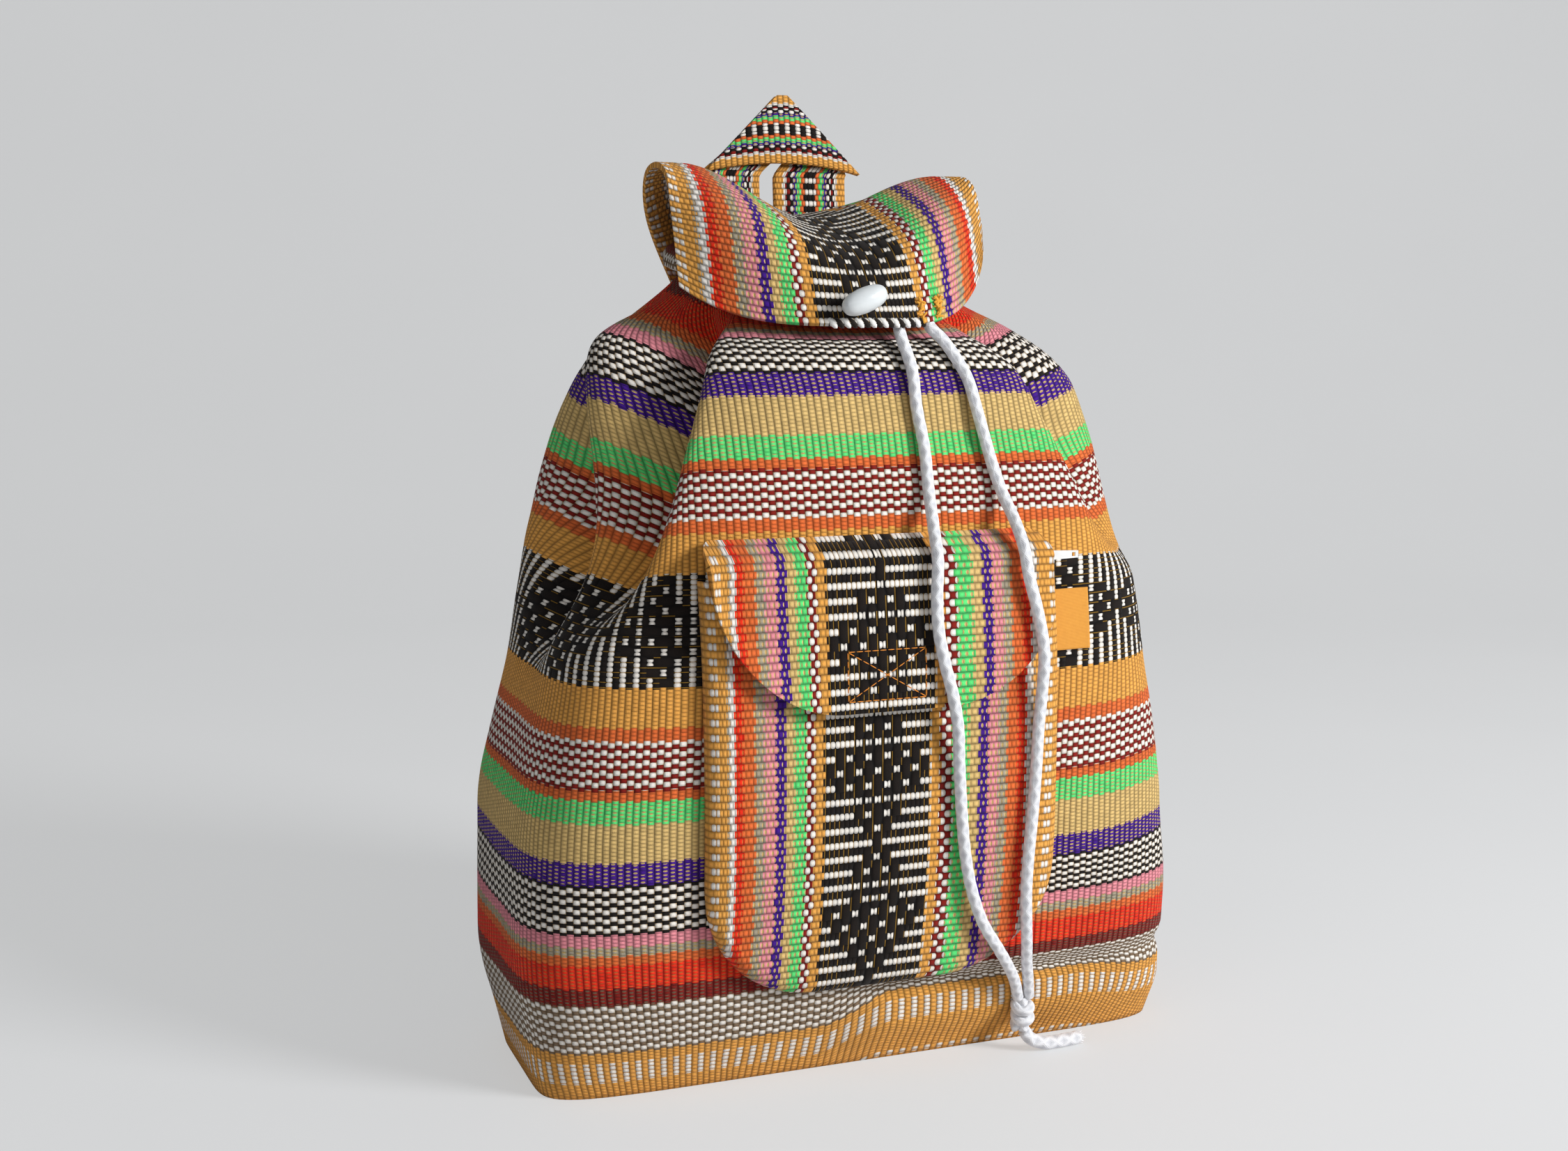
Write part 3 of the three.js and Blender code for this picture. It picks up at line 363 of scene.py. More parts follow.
def braid_tube(line, diameter):
    """A tube of rings along the line, raised where the strands of the braid pass over."""
    bm = bmesh.new()
    weave = bm.loops.layers.uv.new("weave")
    rings, side, along = [], None, 0.0
    for k, point in enumerate(line):
        ahead = (line[min(k + 1, len(line) - 1)] - line[max(k - 1, 0)]).normalized()
        across = ahead.orthogonal() if side is None else side - ahead * side.dot(ahead)
        side = across.normalized()
        other = ahead.cross(side)
        along += (point - line[k - 1]).length if k else 0.0
        ring = []
        for n in range(RING_SIDES):
            turn = 2 * math.pi * n / RING_SIDES
            reach = diameter / 2 * (1 - KNOBBLY + KNOBBLY * braid_lift(turn, along))
            ring.append(bm.verts.new(point + (side * math.cos(turn) + other * math.sin(turn)) * reach))
        rings.append((along, ring))
    for (low, lower), (high, upper) in zip(rings, rings[1:]):
        for n in range(RING_SIDES):
            after = (n + 1) % RING_SIDES
            face = bm.faces.new((lower[n], lower[after], upper[after], upper[n]))
            corners = ((n, low), (n + 1, low), (n + 1, high), (n, high))
            for loop, (turned, height) in zip(face.loops, corners):
                loop[weave].uv = (turned / RING_SIDES, height / MM)
    bm.faces.new(rings[0][1][::-1])
    bm.faces.new(rings[-1][1])
    return bm


def braid_lift(turn, along):
    """Height of the braid, 0 in a hollow and 1 on a strand, at an angle and a length."""
    lean = 2 * math.pi * along / BRAID_PITCH
    left = math.cos(BRAID_STRANDS / 2 * turn + 2 * lean)
    right = math.cos(BRAID_STRANDS / 2 * turn - 2 * lean)
    return max(left, right) * 0.5 + 0.5


print("braid of", BRAID_STRANDS, "strands, pitch", BRAID_PITCH, "m")

# %% Cord material
FIBRES_IN_STRAND = 6


def braided_cotton():
    paint = Paint("braided_cotton", 0.85, Specular_IOR_Level=0.2, Sheen_Weight=0.15)
    thread, around, along = paint.weave_map()
    turn = around * (2 * math.pi) * (BRAID_STRANDS / 2)
    lean = along * (2 * math.pi / (BRAID_PITCH / MM)) * 2
    slants = (turn + lean, turn - lean)
    left, right = (slant.math("COSINE") for slant in slants)
    over = left > right
    lift = left.math("MAXIMUM", right) * 0.5 + 0.5
    fibres = paint.speckle(thread, 9.0, 3.0)
    lines = [(slant * FIBRES_IN_STRAND).math("COSINE") for slant in slants]
    strands = lines[0] * over + lines[1] * (1 - over)
    # Painted shade: the colour is darker in the hollows between the strands and lighter on them
    colour = paint.mix(lift * 0.8 + fibres * 0.2, linear("c9cbd1"), linear("ecedf0"))
    height = lift + strands * 0.10 + fibres * 0.2
    return paint.shade(Base_Color=colour, Normal=paint.bump(0.7, 0.0006, height))


cord_cotton = braided_cotton()
print("cord material:", cord_cotton.name)

# %% [markdown]
# The two tails come first. They hang down the front, and their points are those of the
# solids.

# %% Drawcord tails
LEFT_TAIL = mm(
    (21.5, -40.6, 416.4), (22.3, -43.8, 410.8), (21.2, -49, 403.5), (18.5, -55.9, 393.5),
    (16.6, -63.8, 379), (19.5, -72.6, 360), (19.5, -78.8, 341), (21.3, -84, 322),
    (21.3, -90, 300), (18.5, -102, 283), (16, -112, 269.5), (15, -113.6, 252),
    (15.5, -114.8, 236), (18.5, -115.8, 220), (22.5, -116.4, 205), (26.3, -115.2, 188),
    (29, -111.8, 167), (31.3, -110.6, 142), (33.8, -109.8, 122), (38.5, -108.4, 102),
    (46, -106.2, 84), (56.5, -102.6, 68.5), (66, -95.5, 56), (74.5, -87.2, 44), (81.2, -79, 31.2),
)
RIGHT_TAIL = mm(
    (41.7, -32.3, 417.2), (41.2, -36.6, 411.5), (39.8, -42, 406.5), (37, -49.6, 398),
    (34, -56.8, 388.5), (34.5, -61.2, 381), (40, -64.6, 374.5), (46.3, -69, 364),
    (50.2, -73.2, 354.5), (52.6, -78.2, 340.6), (55.2, -82, 326.8), (58, -85.6, 313),
    (61.5, -90, 299), (63.5, -100.5, 285.5), (63.5, -110.2, 273.5), (65.2, -112.8, 259.5),
    (69, -113.8, 245), (71.8, -114.8, 231.5), (73.2, -115.2, 219.5), (73.8, -112.6, 203),
    (73.4, -110.4, 184), (72.4, -110.2, 160), (71, -110, 138), (69.8, -109, 118),
    (69.8, -107.2, 99.5), (71.4, -104.8, 84), (74.8, -99.4, 68.5), (79, -92, 55),
    (83.6, -85.2, 43), (87.6, -79, 31.2),
)


def bag_piece(bm, name, material, node=None):
    """A finished piece that goes with the bag."""
    piece = finished(bm, name, material)
    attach(piece, "bag")
    if node:
        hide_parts(node)
    return piece


def drawcord(name, node, route, diameter=CORD):
    line = even_line(route, RING_STEP)
    piece = bag_piece(braid_tube(line, diameter), name, cord_cotton, node)
    print(name, "length", round(length_of(line), 3), "m")
    return piece, line


left_tail, left_line = drawcord("cord_left_tail", "drawcord_left_tail", LEFT_TAIL)
right_tail, right_line = drawcord("cord_right_tail", "drawcord_right_tail", RIGHT_TAIL)

# %% [markdown]
# The two tails meet in one overhand knot and go on as a single thicker end to a cut tip on the
# floor. The knot is the same cord wound round the pair, so it is the same tube on a short
# spiral route, and a tuft of loose threads stands out of the cut end.

# %% Knot and joined end
KNOT_AT = Vector((84.5, -78.2, 21.5)) * MM
KNOT_LENGTH = 17 * MM
KNOT_DIAMETER = 13 * MM
KNOT_CORD = 5.2 * MM
KNOT_TURNS = 2.15
KNOT_START = 2.4
KNOT_STEPS = 32
KNOT_SLANT = 2.2 * MM
CORE_DIAMETER = 5.6 * MM
END_DIAMETER = 7 * MM
JOINED_END = mm(
    (85.4, -78.5, 11.65), (89.4, -79.4, 7), (97, -80.3, 4.3), (108, -80, 3.9), (118, -79, 3.9),
)


def knot_route():
    """Two and a bit turns round the pair of cords, slanting as a pulled knot does."""
    reach = KNOT_DIAMETER / 2 - KNOT_CORD / 2
    points = []
    for k in range(KNOT_STEPS + 1):
        t = k / KNOT_STEPS
        turn = 2 * math.pi * (KNOT_TURNS * t) + KNOT_START
        rise = (0.5 - t) * (KNOT_LENGTH - KNOT_CORD)
        slant = KNOT_SLANT * math.cos(turn - 0.8)
        points.append(KNOT_AT + Vector((math.cos(turn) * reach, math.sin(turn) * reach, rise + slant)))
    return points


knot, _ = drawcord("cord_knot", "drawcord_knot", knot_route(), KNOT_CORD)
core_top = KNOT_AT + Vector((0, 0, KNOT_LENGTH / 2 + 0.5 * MM))
core_low = JOINED_END[0] + Vector((0, 0, 0.5 * MM))
core, _ = drawcord("cord_knot_core", None, [core_top, KNOT_AT, core_low], CORE_DIAMETER)
joined_end, end_line = drawcord("cord_joined_end", "drawcord_end", JOINED_END, END_DIAMETER)

# %% Frayed tip
FRAY_COUNT = 26
FRAY_THREAD = 0.56 * MM


def capsule(bm, start, end, thickness):
    """A sphere of few faces stretched from start to end."""
    along = end - start
    turned = along.to_track_quat("Z", "Y").to_matrix().to_4x4()
    size = Matrix.Diagonal((thickness / 2, thickness / 2, along.length / 2, 1))
    place = Matrix.Translation((start + end) / 2) @ turned @ size
    bmesh.ops.create_uvsphere(bm, u_segments=6, v_segments=4, radius=1, matrix=place)


def frayed_tip(tip, ahead):
    """Loose threads that spread from the cut end, none of them below the floor."""
    bm = bmesh.new()
    up = Vector((0, 0, 1))
    side = ahead.cross(up).normalized()
    for k in range(FRAY_COUNT):
        turn = 2.4 * k
        ring = 2.6 * MM * math.sqrt((k + 0.5) / FRAY_COUNT)
        start = tip + (side * math.cos(turn) + up * math.sin(turn)) * ring
        spread = 1.2 + 0.5 * math.sin(3.1 * k)
        away = (ahead + (start - tip) / (3 * MM) * 0.35 * spread).normalized()
        long = (2.2 + 1.6 * abs(math.sin(1.7 * k))) * MM
        capsule(bm, start - away * long * 0.2, start + away * long * 0.8, FRAY_THREAD)
    low = min(v.co.z for v in bm.verts)
    bmesh.ops.translate(bm, verts=bm.verts, vec=(0, 0, max(0.0, 0.2 * MM - low)))
    return bm


tip_ahead = (end_line[-1] - end_line[-4]).normalized()
frayed = bag_piece(frayed_tip(end_line[-1], tip_ahead), "cord_frayed_tip", cord_cotton)
round(length_of(left_line), 3)
round(length_of(right_line), 3)
print("knot", len(knot.data.polygons), "faces, frayed tip", len(frayed.data.polygons))

# %% [markdown]
# ## The bag's surface
# The body is a tube of cloth that is oval at the base, wide in the belly and drawn together at
# the neck, where it falls into deep folds. One function gives the outer surface at an angle
# round the bag and a share of its height, so that every piece that lies on the bag can ask
# where the bag is. The sections are the solid's. The folds at the sides are deeper than the
# solid's, tuck in behind their lips and have ridges beside them.

# %% Sections and folds
BAG_HEIGHT = 420 * MM
BAG_WIDTH = 370 * MM
BAG_DEPTH = 194 * MM
CLOTH = 2.2 * MM
SEAM = 0.5 * MM
NECK_SETBACK = 18 * MM
LEAN = 8 * MM
UP, WIDE, DEEP, SQUARE, BACK, LEANING = range(6)
SECTIONS = [
    (0, 0.945, 0.6, 8, 0, 0.9),
    (0.06, 0.97, 0.74, 6, 0, 0.8),
    (0.15, 0.99, 0.89, 5, 0, 0.4),
    (0.31, 0.965, 0.98, 4.8, 0, 0.1),
    (0.5, 0.89, 1, 4.4, 0.1, 0.5),
    (0.68, 0.8, 0.96, 3.8, 0.33, 1),
    (0.83, 0.71, 0.85, 3, 0.55, 0.8),
    (0.92, 0.56, 0.72, 2.3, 0.78, 0),
    (1, 0.36, 0.54, 2, 1, 0),
]
# Angle where a fold begins and where it meets the neck, half width, depth as a share of the
# radius (below zero for a ridge), the height where it starts, the angle by which its valley
# tucks in behind the lip beside it, and how far its stripes sink
FOLDS = [
    (-72, -66, 8.5, 0.4, 0.52, 12, 31 * MM),
    (-88, -105, 8, 0.45, 0.48, 16, 35 * MM),
    (-110, -116, 12, -0.06, 0.48, 0, 0),
    (-92, -92, 18, -0.15, 0.72, 0, 0),
    (66, 63, 8, 0.44, 0.59, -13, 27 * MM),
    (90, 87, 13, -0.08, 0.5, 0, 0),
    (114, 108, 9, 0.24, 0.62, 0, 11 * MM),
    (-134, -136, 9, 0.24, 0.64, 0, 11 * MM),
    (146, 142, 9, 0.24, 0.64, 0, 11 * MM),
    (180, 180, 9, 0.16, 0.7, 0, 8 * MM),
]
FOLD_GROWTH = 0.25
FOLD_FADE = 0.9


def clamp(share):
    return min(max(share, 0), 1)


def smooth_step(low, high, value):
    t = clamp((value - low) / (high - low))
    return t * t * (3 - 2 * t)


def heading(angle):
    """The sideways and the frontward part of a direction, by its angle from the front."""
    return math.sin(math.radians(angle)), math.cos(math.radians(angle))


@lru_cache(maxsize=None)
def section_at(column, up):
    """One measure of the section at a height, smooth between the rows of the table."""
    last = len(SECTIONS) - 2
    at = max(k for k in range(last + 1) if k == 0 or SECTIONS[k][UP] <= up)

    def rise(k):
        low, high = SECTIONS[k], SECTIONS[k + 1]
        return (high[column] - low[column]) / (high[UP] - low[UP])

    def slope(k):
        if k == 0 or k > last:
            return rise(min(k, last))
        before, after = rise(k - 1), rise(k)
        return 0 if before * after <= 0 else 2 * before * after / (before + after)

    low, high = SECTIONS[at], SECTIONS[at + 1]
    width = high[UP] - low[UP]
    share = (up - low[UP]) / width
    return hermite(low[column], slope(at) * width, high[column], slope(at + 1) * width, share)


def folds_at(angle, up):
    """The share of the radius that the folds take, how far they tuck and how far they sink."""
    taken = tucked = sunk = 0.0
    for begin, end, width, depth, start, tuck, dip in FOLDS:
        if up <= start:
            continue
        middle = begin + (end - begin) * (up - start) / (1 - start)
        away = (angle - middle + 180) % 360 - 180
        grown = smooth_step(start, start + FOLD_GROWTH, up) * (1 - smooth_step(FOLD_FADE, 1, up))
        share = grown * math.exp(-((away / width) ** 2))
        taken += depth * share
        tucked += tuck * share
        sunk += dip * share
    return taken, tucked, sunk


print("half width at mid height:", round(BAG_WIDTH / 2 * section_at(WIDE, 0.5), 4), "m")

# %% Places on the bag
HALVINGS = 26


def bag_point(angle, up, reach=0.0, tuck=False, bare=False):
    """A place on the bag, or off it by a reach; tuck draws it into the folds, bare leaves them out."""
    wide = BAG_WIDTH / 2 * section_at(WIDE, up)
    deep = BAG_DEPTH / 2 * section_at(DEEP, up)
    square = section_at(SQUARE, up)
    side, front = heading(angle)
    oval = (abs(side / wide) ** square + abs(front / deep) ** square) ** (-1 / square)
    taken, tucked, sunk = (0, 0, 0) if bare else folds_at(angle, up)
    radius = oval * (1 - taken) + reach
    if tuck:
        side, front = heading(angle + tucked)
    lean, setback = LEAN * section_at(LEANING, up), NECK_SETBACK * section_at(BACK, up)
    return Vector((lean + radius * side, setback - radius * front, BAG_HEIGHT * up - sunk))


@lru_cache(maxsize=None)
def bag_y(x, z, behind=False):
    """Y of the front or the back of the bag at a place seen from the front."""
    up = clamp(z / BAG_HEIGHT)
    near, far = (269, 91) if behind else (-89, 89)
    for _ in range(HALVINGS):
        middle = (near + far) / 2
        if bag_point(middle, up).x < x:
            near = middle
        else:
            far = middle
    return bag_point((near + far) / 2, up).y


print("front of the bag at mid height:", round(bag_y(0, 0.21), 4))

# %% [markdown]
# ## Ribbed handwoven cloth
# All the cloth is one weave. Thick ribs run one way, and the coloured yarns cross them, over
# one rib and under the next, so the surface is a field of small oval cells, and every other
# rib is half a yarn out of step, which makes the edges of the stripes jagged. The corners
# between the ovals show the other yarn or a gold one.
# The cloth carries its own map in millimetres: u counts across the ribs and v across the
# stripes. The stripes repeat on both sides of a middle line, so one table from the middle
# outwards is enough, kept in a colour ramp with hard steps. The ramp's alpha says how the two
# yarns of a stripe take turns.

# %% Yarns
YARN = {
    "orange": linear("e6a44e"),
    "tan": linear("dab876"),
    "green": linear("5fe07a"),
    "purple": linear("44198a"),
    "red": linear("ea3016"),
    "rust": linear("e16d36"),
    "maroon": linear("821c14"),
    "grey": linear("a79c86"),
    "pink": linear("e8909a"),
    "white": linear("ece6dd"),
    "black": linear("1a1411"),
    "brown": linear("7d6852"),
    "ochre": linear("cf9c34"),
}
PLAIN, WAVE, CHECK, TICK, DASH, DIAMOND = range(6)

# Distance from the middle line where a stripe ends, its two yarns, and how they take turns;
# a plain stripe has one yarn
BODY_STRIPES = [
    (26.4, "black", "white", DIAMOND),
    (45.2, "orange"),
    (50.2, "rust"),
    (73.8, "white", "maroon", WAVE),
    (79.5, "rust"),
    (89.5, "green", "tan", TICK),
    (108.6, "tan"),
    (118.9, "purple", "tan", TICK),
    (145.1, "white", "black", WAVE),
    (150.9, "pink"),
    (155.6, "grey", "tan", TICK),
    (160.6, "rust"),
    (172, "red", "rust", TICK),
    (181.6, "maroon", "brown", TICK),
    (210.2, "white", "brown", WAVE),
    (216.4, "orange"),
    (228.9, "orange", "white", DASH),
    (251.4, "orange"),
    (253.9, "orange", "white", DASH),
    (400, "orange"),
]
POCKET_STRIPES = [
    (27.5, "black", "white", DIAMOND),
    (32.5, "orange"),
    (37.5, "white", "maroon", CHECK),
    (42.5, "green", "tan", TICK),
    (47.5, "tan"),
    (52.5, "purple", "tan", TICK),
    (57.5, "pink", "tan", TICK),
    (62.5, "grey", "tan", TICK),
    (68, "rust"),
    (73.5, "red", "rust", TICK),
    (76.2, "white"),
    (77.5, "grey", "orange", TICK),
    (83.85, "orange"),
    (88.75, "orange", "white", DASH),
    (300, "orange"),
]
BAND_STRIPES = [
    (3.5, "black", "white", DASH),
    (5.5, "rust"),
    (8, "green", "tan", TICK),
    (10, "purple", "tan", TICK),
    (12.2, "white", "black", CHECK),
    (14.4, "maroon", "black", CHECK),
    (16.2, "white"),
    (60, "orange"),
]
print("stripes:", len(BODY_STRIPES), len(POCKET_STRIPES), len(BAND_STRIPES))

# %% Weave
RIB = 3.6
WAVE_PERIOD = 4.72
WAVE_START = 0.73
WAVE_WHITE = 0.54
WAVE_STEP = 1.3
CHECK_PICK = 2.5
CHECK_WHITE = 1.12
TICK_SIZE = (0.46, 0.62)
MISSED_TICKS = 0.12
DASH_LENGTH = 0.86
DIAMOND_ROWS = 5
DOT_LENGTH = 0.62
FLOAT_LENGTH = 0.8
OVAL = 2.3
GILDING = 0.7


def stripe_ramps(paint, where, stripes):
    """The two yarns of the stripe at a place, and the number of its rule in tenths."""
    rows = [row if len(row) > 2 else (*row, row[1], PLAIN) for row in stripes]
    longest = rows[-1][0]
    starts = [0.0] + [end / longest for end, *_ in rows[:-1]]
    first = [(s, YARN[a][:3] + (rule / 10,)) for s, (_, a, _, rule) in zip(starts, rows)]
    second = [(s, YARN[b]) for s, (_, _, b, _) in zip(starts, rows)]
    share = where / longest
    main = paint.node("ShaderNodeValToRGB", {"stops": first}, (share,))
    return main, paint.node("ShaderNodeValToRGB", {"stops": second}, (share,)), main.output("Alpha")


def from_middle(cells):
    """How far a place is from the middle of its cell: 0 in the middle and 1 at the border."""
    return abs(cells % 1 - 0.5) * 2


print("ribs of", RIB, "mm, waves of", WAVE_PERIOD, "mm")


# %% Woven cloth
def woven(name, stripes, middle, phase=0, pick=1.9, rib_width=RIB, check_pick=CHECK_PICK):
    """Ribbed cloth whose stripes are laid out from a middle line, in millimetres."""
    paint = Paint(name, 0.92, Specular_IOR_Level=0.12, Sheen_Weight=0.05, Sheen_Roughness=0.6)
    thread, across, v = paint.weave_map()
    ribs = across / rib_width
    v = v - middle
    rib = ribs.math("FLOOR")
    odd = rib % 2
    groove = from_middle(ribs)
    first = stripes[0][0]
    shifted = abs(v + (odd - 0.5) * (pick / 2))
    main, partner, rule = stripe_ramps(paint, shifted, stripes)
    plain, waves, checks, ticks, dashes, diamonds = (
        rule.math("COMPARE", number / 10, 0.03) for number in (PLAIN, WAVE, CHECK, TICK, DASH, DIAMOND)
    )
    cells = (shifted - first) / pick
    cell = paint.node("ShaderNodeCombineXYZ", {}, (rib, cells.math("FLOOR")))
    luck = paint.node("ShaderNodeTexWhiteNoise", {"noise_dimensions": "2D"}, {"Vector": cell})
    bead = from_middle(cells)

    # Ticks: a small dot of the second yarn between two picks of the first
    tick_long, tick_wide = TICK_SIZE
    tick = (((1 - bead) / tick_long) ** 2 + (groove / tick_wide) ** 2 < 1) * (luck > MISSED_TICKS)
    # Waves: a white yarn and a narrower dark one, a quarter of a period on at every other rib
    wave = ((abs(v + (odd - 0.5) * WAVE_STEP) - first) / WAVE_PERIOD + WAVE_START) % 1
    dark = wave > WAVE_WHITE
    in_wave = wave / WAVE_WHITE * (1 - dark) + (wave - WAVE_WHITE) / (1 - WAVE_WHITE) * dark
    # Checks: the two yarns change places on every rib
    check = ((abs(v) - first) / check_pick + rib) % 2
    turn = check > CHECK_WHITE
    in_check = check / CHECK_WHITE * (1 - turn) + (check - CHECK_WHITE) / (2 - CHECK_WHITE) * turn
    # Diamonds: black floats cross three ribs, white dots show where they dip
    column = abs(v) / (first / (DIAMOND_ROWS + 0.5)) + 0.5
    k = column.math("FLOOR")
    m = ((rib / 2).math("FLOOR") + phase).math("PINGPONG", DIAMOND_ROWS)
    inside = 1 - (k > m)
    dips = (k + m) % 2
    in_column = from_middle(column)
    in_dot = from_middle(column * 2)
    dot = inside * dips * (in_column < DOT_LENGTH)
    white = (1 - odd) * (1 - inside + dot)
    gold = ((1 - inside) * (in_dot > 0.86) + inside * (in_column > 0.9)) * (luck > 0.4)
    # Each black float is a lens three ribs long, set half a step off its neighbour
    cycle = ((ribs - 0.5) / 2 + k + phase) / 2 + 0.5
    lens = (1 - in_column**2.6 - (from_middle(cycle) / FLOAT_LENGTH) ** 3).math("MAXIMUM", 0.0)
    on_float = diamonds * inside * (1 - white)

    # Every cell is an oval: its corners show the other yarn, or gold beside the white of a wave
    edge = bead * (plain + ticks) + from_middle(in_wave) * waves + from_middle(in_check) * checks
    edge = edge + in_dot * diamonds + from_middle((shifted - first) / check_pick) * dashes
    corner = edge**OVAL + groove**OVAL > 1
    turns = (
        waves * dark
        + checks * turn.math("MAXIMUM", corner)
        + ticks * tick
        + dashes * (1 - odd) * (1 - corner) * (edge < DASH_LENGTH)
        + diamonds * white * (1 - corner)
    )
    gilded = diamonds * gold + waves * corner * (1 - dark)
    colour = paint.mix(gilded * GILDING, paint.mix(turns, main, partner), YARN["ochre"])
    # Rounded cells: deep hollows between the ribs, shallower ones between the yarns. This height
    # shapes the bump and also paints shade into the colour, darkest in the hollows and at the edges of
    # the black floats
    lift = (1 - groove**2.4) * (0.42 + 0.58 * (1 - edge**2.2))
    lift = lift * (1 - on_float) + lens * on_float
    fibres = paint.speckle(thread, 2.2, 3.0)
    wear = paint.speckle(paint.object_place(), 18.0, 3.0)
    # Painted shade from the height above, times the yarns' own uneven tone per cell, in the fibres and
    # in the wear
    groove_shade_and_tone = (0.42 + lift * 0.7) * (0.88 + luck * 0.18) * (0.88 + fibres * 0.24) * (0.92 + wear * 0.16)
    normal = paint.bump(0.9, 0.0009, lift + fibres * 0.35)
    return paint.shade(Base_Color=paint.dim(colour, groove_shade_and_tone), Normal=normal)


BODY_MIDDLE = 238.5
body_cloth = woven("body_cloth", BODY_STRIPES, BODY_MIDDLE, phase=2)
pocket_cloth = woven("pocket_cloth", POCKET_STRIPES, 0.0, phase=2, pick=2.5, check_pick=2.45)
band_cloth = woven("band_cloth", BAND_STRIPES, 0.0, pick=2.0, rib_width=3.2, check_pick=2.1)
print("woven materials:", body_cloth.name, pocket_cloth.name, band_cloth.name)

# %% [markdown]
# ## A sheet of cloth
# Every cloth piece is a fine flat grid that is moved into place point by point, with its weave
# map written first, while the grid is still flat. Solidify then gives it its thickness.
# A simulation could drape it too, but the folds here are drawn by the cord and sewn down,
# so placing them keeps each stripe and fold where it belongs.


# %% Cloth helper
def cloth(name, columns, rows, place, thread, material, thickness, offset=-1.0):
    """A grid of cloth: place(s, t) is where a point goes and thread(s, t) its weave."""
    bm = bmesh.new()
    bmesh.ops.create_grid(bm, x_segments=columns, y_segments=rows, size=0.5)
    weave = bm.loops.layers.uv.new("weave")
    at = {vert: (vert.co.x + 0.5, vert.co.y + 0.5) for vert in bm.verts}
    threads = {vert: thread(s, t) for vert, (s, t) in at.items()}
    for face in bm.faces:
        for loop in face.loops:
            loop[weave].uv = threads[loop.vert]
    for vert, (s, t) in at.items():
        vert.co = place(s, t)
    bmesh.ops.remove_doubles(bm, verts=bm.verts, dist=1e-6)
    bm.normal_update()
    piece = finished(bm, name, material)
    wall = piece.modifiers.new("thickness", "SOLIDIFY")
    wall.thickness = thickness
    wall.offset = offset
    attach(piece, "bag")
    return piece


def as_sheet(piece, node, slot, **sheet):
    """Hide the solid that a cloth stands for and print the cloth's face count; the material slot, flat
    size and how it is held are given but not used.
    """
    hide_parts(node)
    print(piece.name, len(piece.data.polygons), "faces")


print("cloth helpers ready")

# %% [markdown]
# ## Bag body
# The real body is one striped tube with a sewn base. Its ribs keep their spacing even where
# the neck is small, because the spare cloth goes into the folds. So the map's u is measured
# along each level of the tube: true on the front panel, and shared out evenly beyond it.
# The map's v is the height on the flat cloth. In a fold the points sink, and the stripes with
# them.

# %% Shape of the body
PUCKERS = 34
PUCKER_DEPTH = 1.6 * MM
NECK_SAG = 28 * MM
CREASE_HEIGHT = 47 * MM


def neck_sag(angle, up):
    """The drawn cord pulls the front of the neck down, and the back stays up."""
    _, front = heading(angle)
    return Vector((0, 0, -NECK_SAG * smooth_step(0.86, 1, up) * (1 + front) / 2))


def slumped(point, angle):
    """1 where the lower right of the front slumps onto the floor, and 0 elsewhere."""
    grown = smooth_step(-0.03, 0.012, point.x) * (1 - 0.4 * smooth_step(0.115, 0.165, point.x))
    return grown * (1 - smooth_step(95, 140, abs(angle)))


def body_surface(angle, up):
    """The bag's outer surface, tucked into its folds, puckered at the neck and a little uneven."""
    pucker = math.cos(math.radians(angle) * PUCKERS) * smooth_step(0.86, 0.99, up) * PUCKER_DEPTH
    point = bag_point(angle, up, pucker, tuck=True)
    clear = smooth_step(0.095, 0.125, abs(point.x + 4 * MM)) if point.y < 0 else 1.0
    clear = max(clear, smooth_step(0.30, 0.33, point.z))
    uneven = (noise.noise(point * 17) * 1.6 + noise.noise(point * 41) * 0.6) * MM
    crease = -5 * MM * math.exp(-(((point.z - CREASE_HEIGHT) / (5 * MM)) ** 2))
    crease += 2.5 * MM * math.exp(-(((point.z - CREASE_HEIGHT / 2) / (12 * MM)) ** 2))
    side, front = heading(angle)
    moved = uneven * clear * smooth_step(0.02, 0.10, up) + crease * slumped(point, angle) * (up > 0)
    return point + Vector((side, -front, 0)) * moved + neck_sag(angle, up)


print("front of the neck at", [round(c, 4) for c in body_surface(0, 1)])

# %% Threads of the body
BODY_COLUMNS = 360
BODY_ROWS = 124
BASE_ROWS = 5
BODY_GIRTH = 1008.0
BASE_REACH = 60
FRONT_PANEL = 52
OVAL_THREADS = 0.65


def level_lengths(points):
    """The cloth's own place across at each column: true on the front, gathered beyond it."""
    along = [0.0]
    for a, b in zip(points, points[1:]):
        along.append(along[-1] + math.hypot(b.x - a.x, b.y - a.y) / MM)
    front = along[BODY_COLUMNS // 2]
    threads = []
    for length in along:
        side = -1 if length < front else 1
        half = front if side < 0 else along[-1] - front
        panel = abs(along[BODY_COLUMNS // 2 + side * FRONT_PANEL * BODY_COLUMNS // 360] - front)
        away = abs(length - front)
        spare = (BODY_GIRTH / 2 - panel) / (half - panel)
        threads.append(side * (min(away, panel) + max(away - panel, 0) * spare))
    return threads


def level_threads(up):
    """Between the threads of the folded level and those of the bare oval, nearer the oval."""
    angles = [360 * c / BODY_COLUMNS - 180 for c in range(BODY_COLUMNS + 1)]
    folded = level_lengths([body_surface(angle, up) for angle in angles])
    oval = level_lengths([bag_point(angle, up, bare=True) for angle in angles])
    return [a + (b - a) * OVAL_THREADS for a, b in zip(folded, oval)]


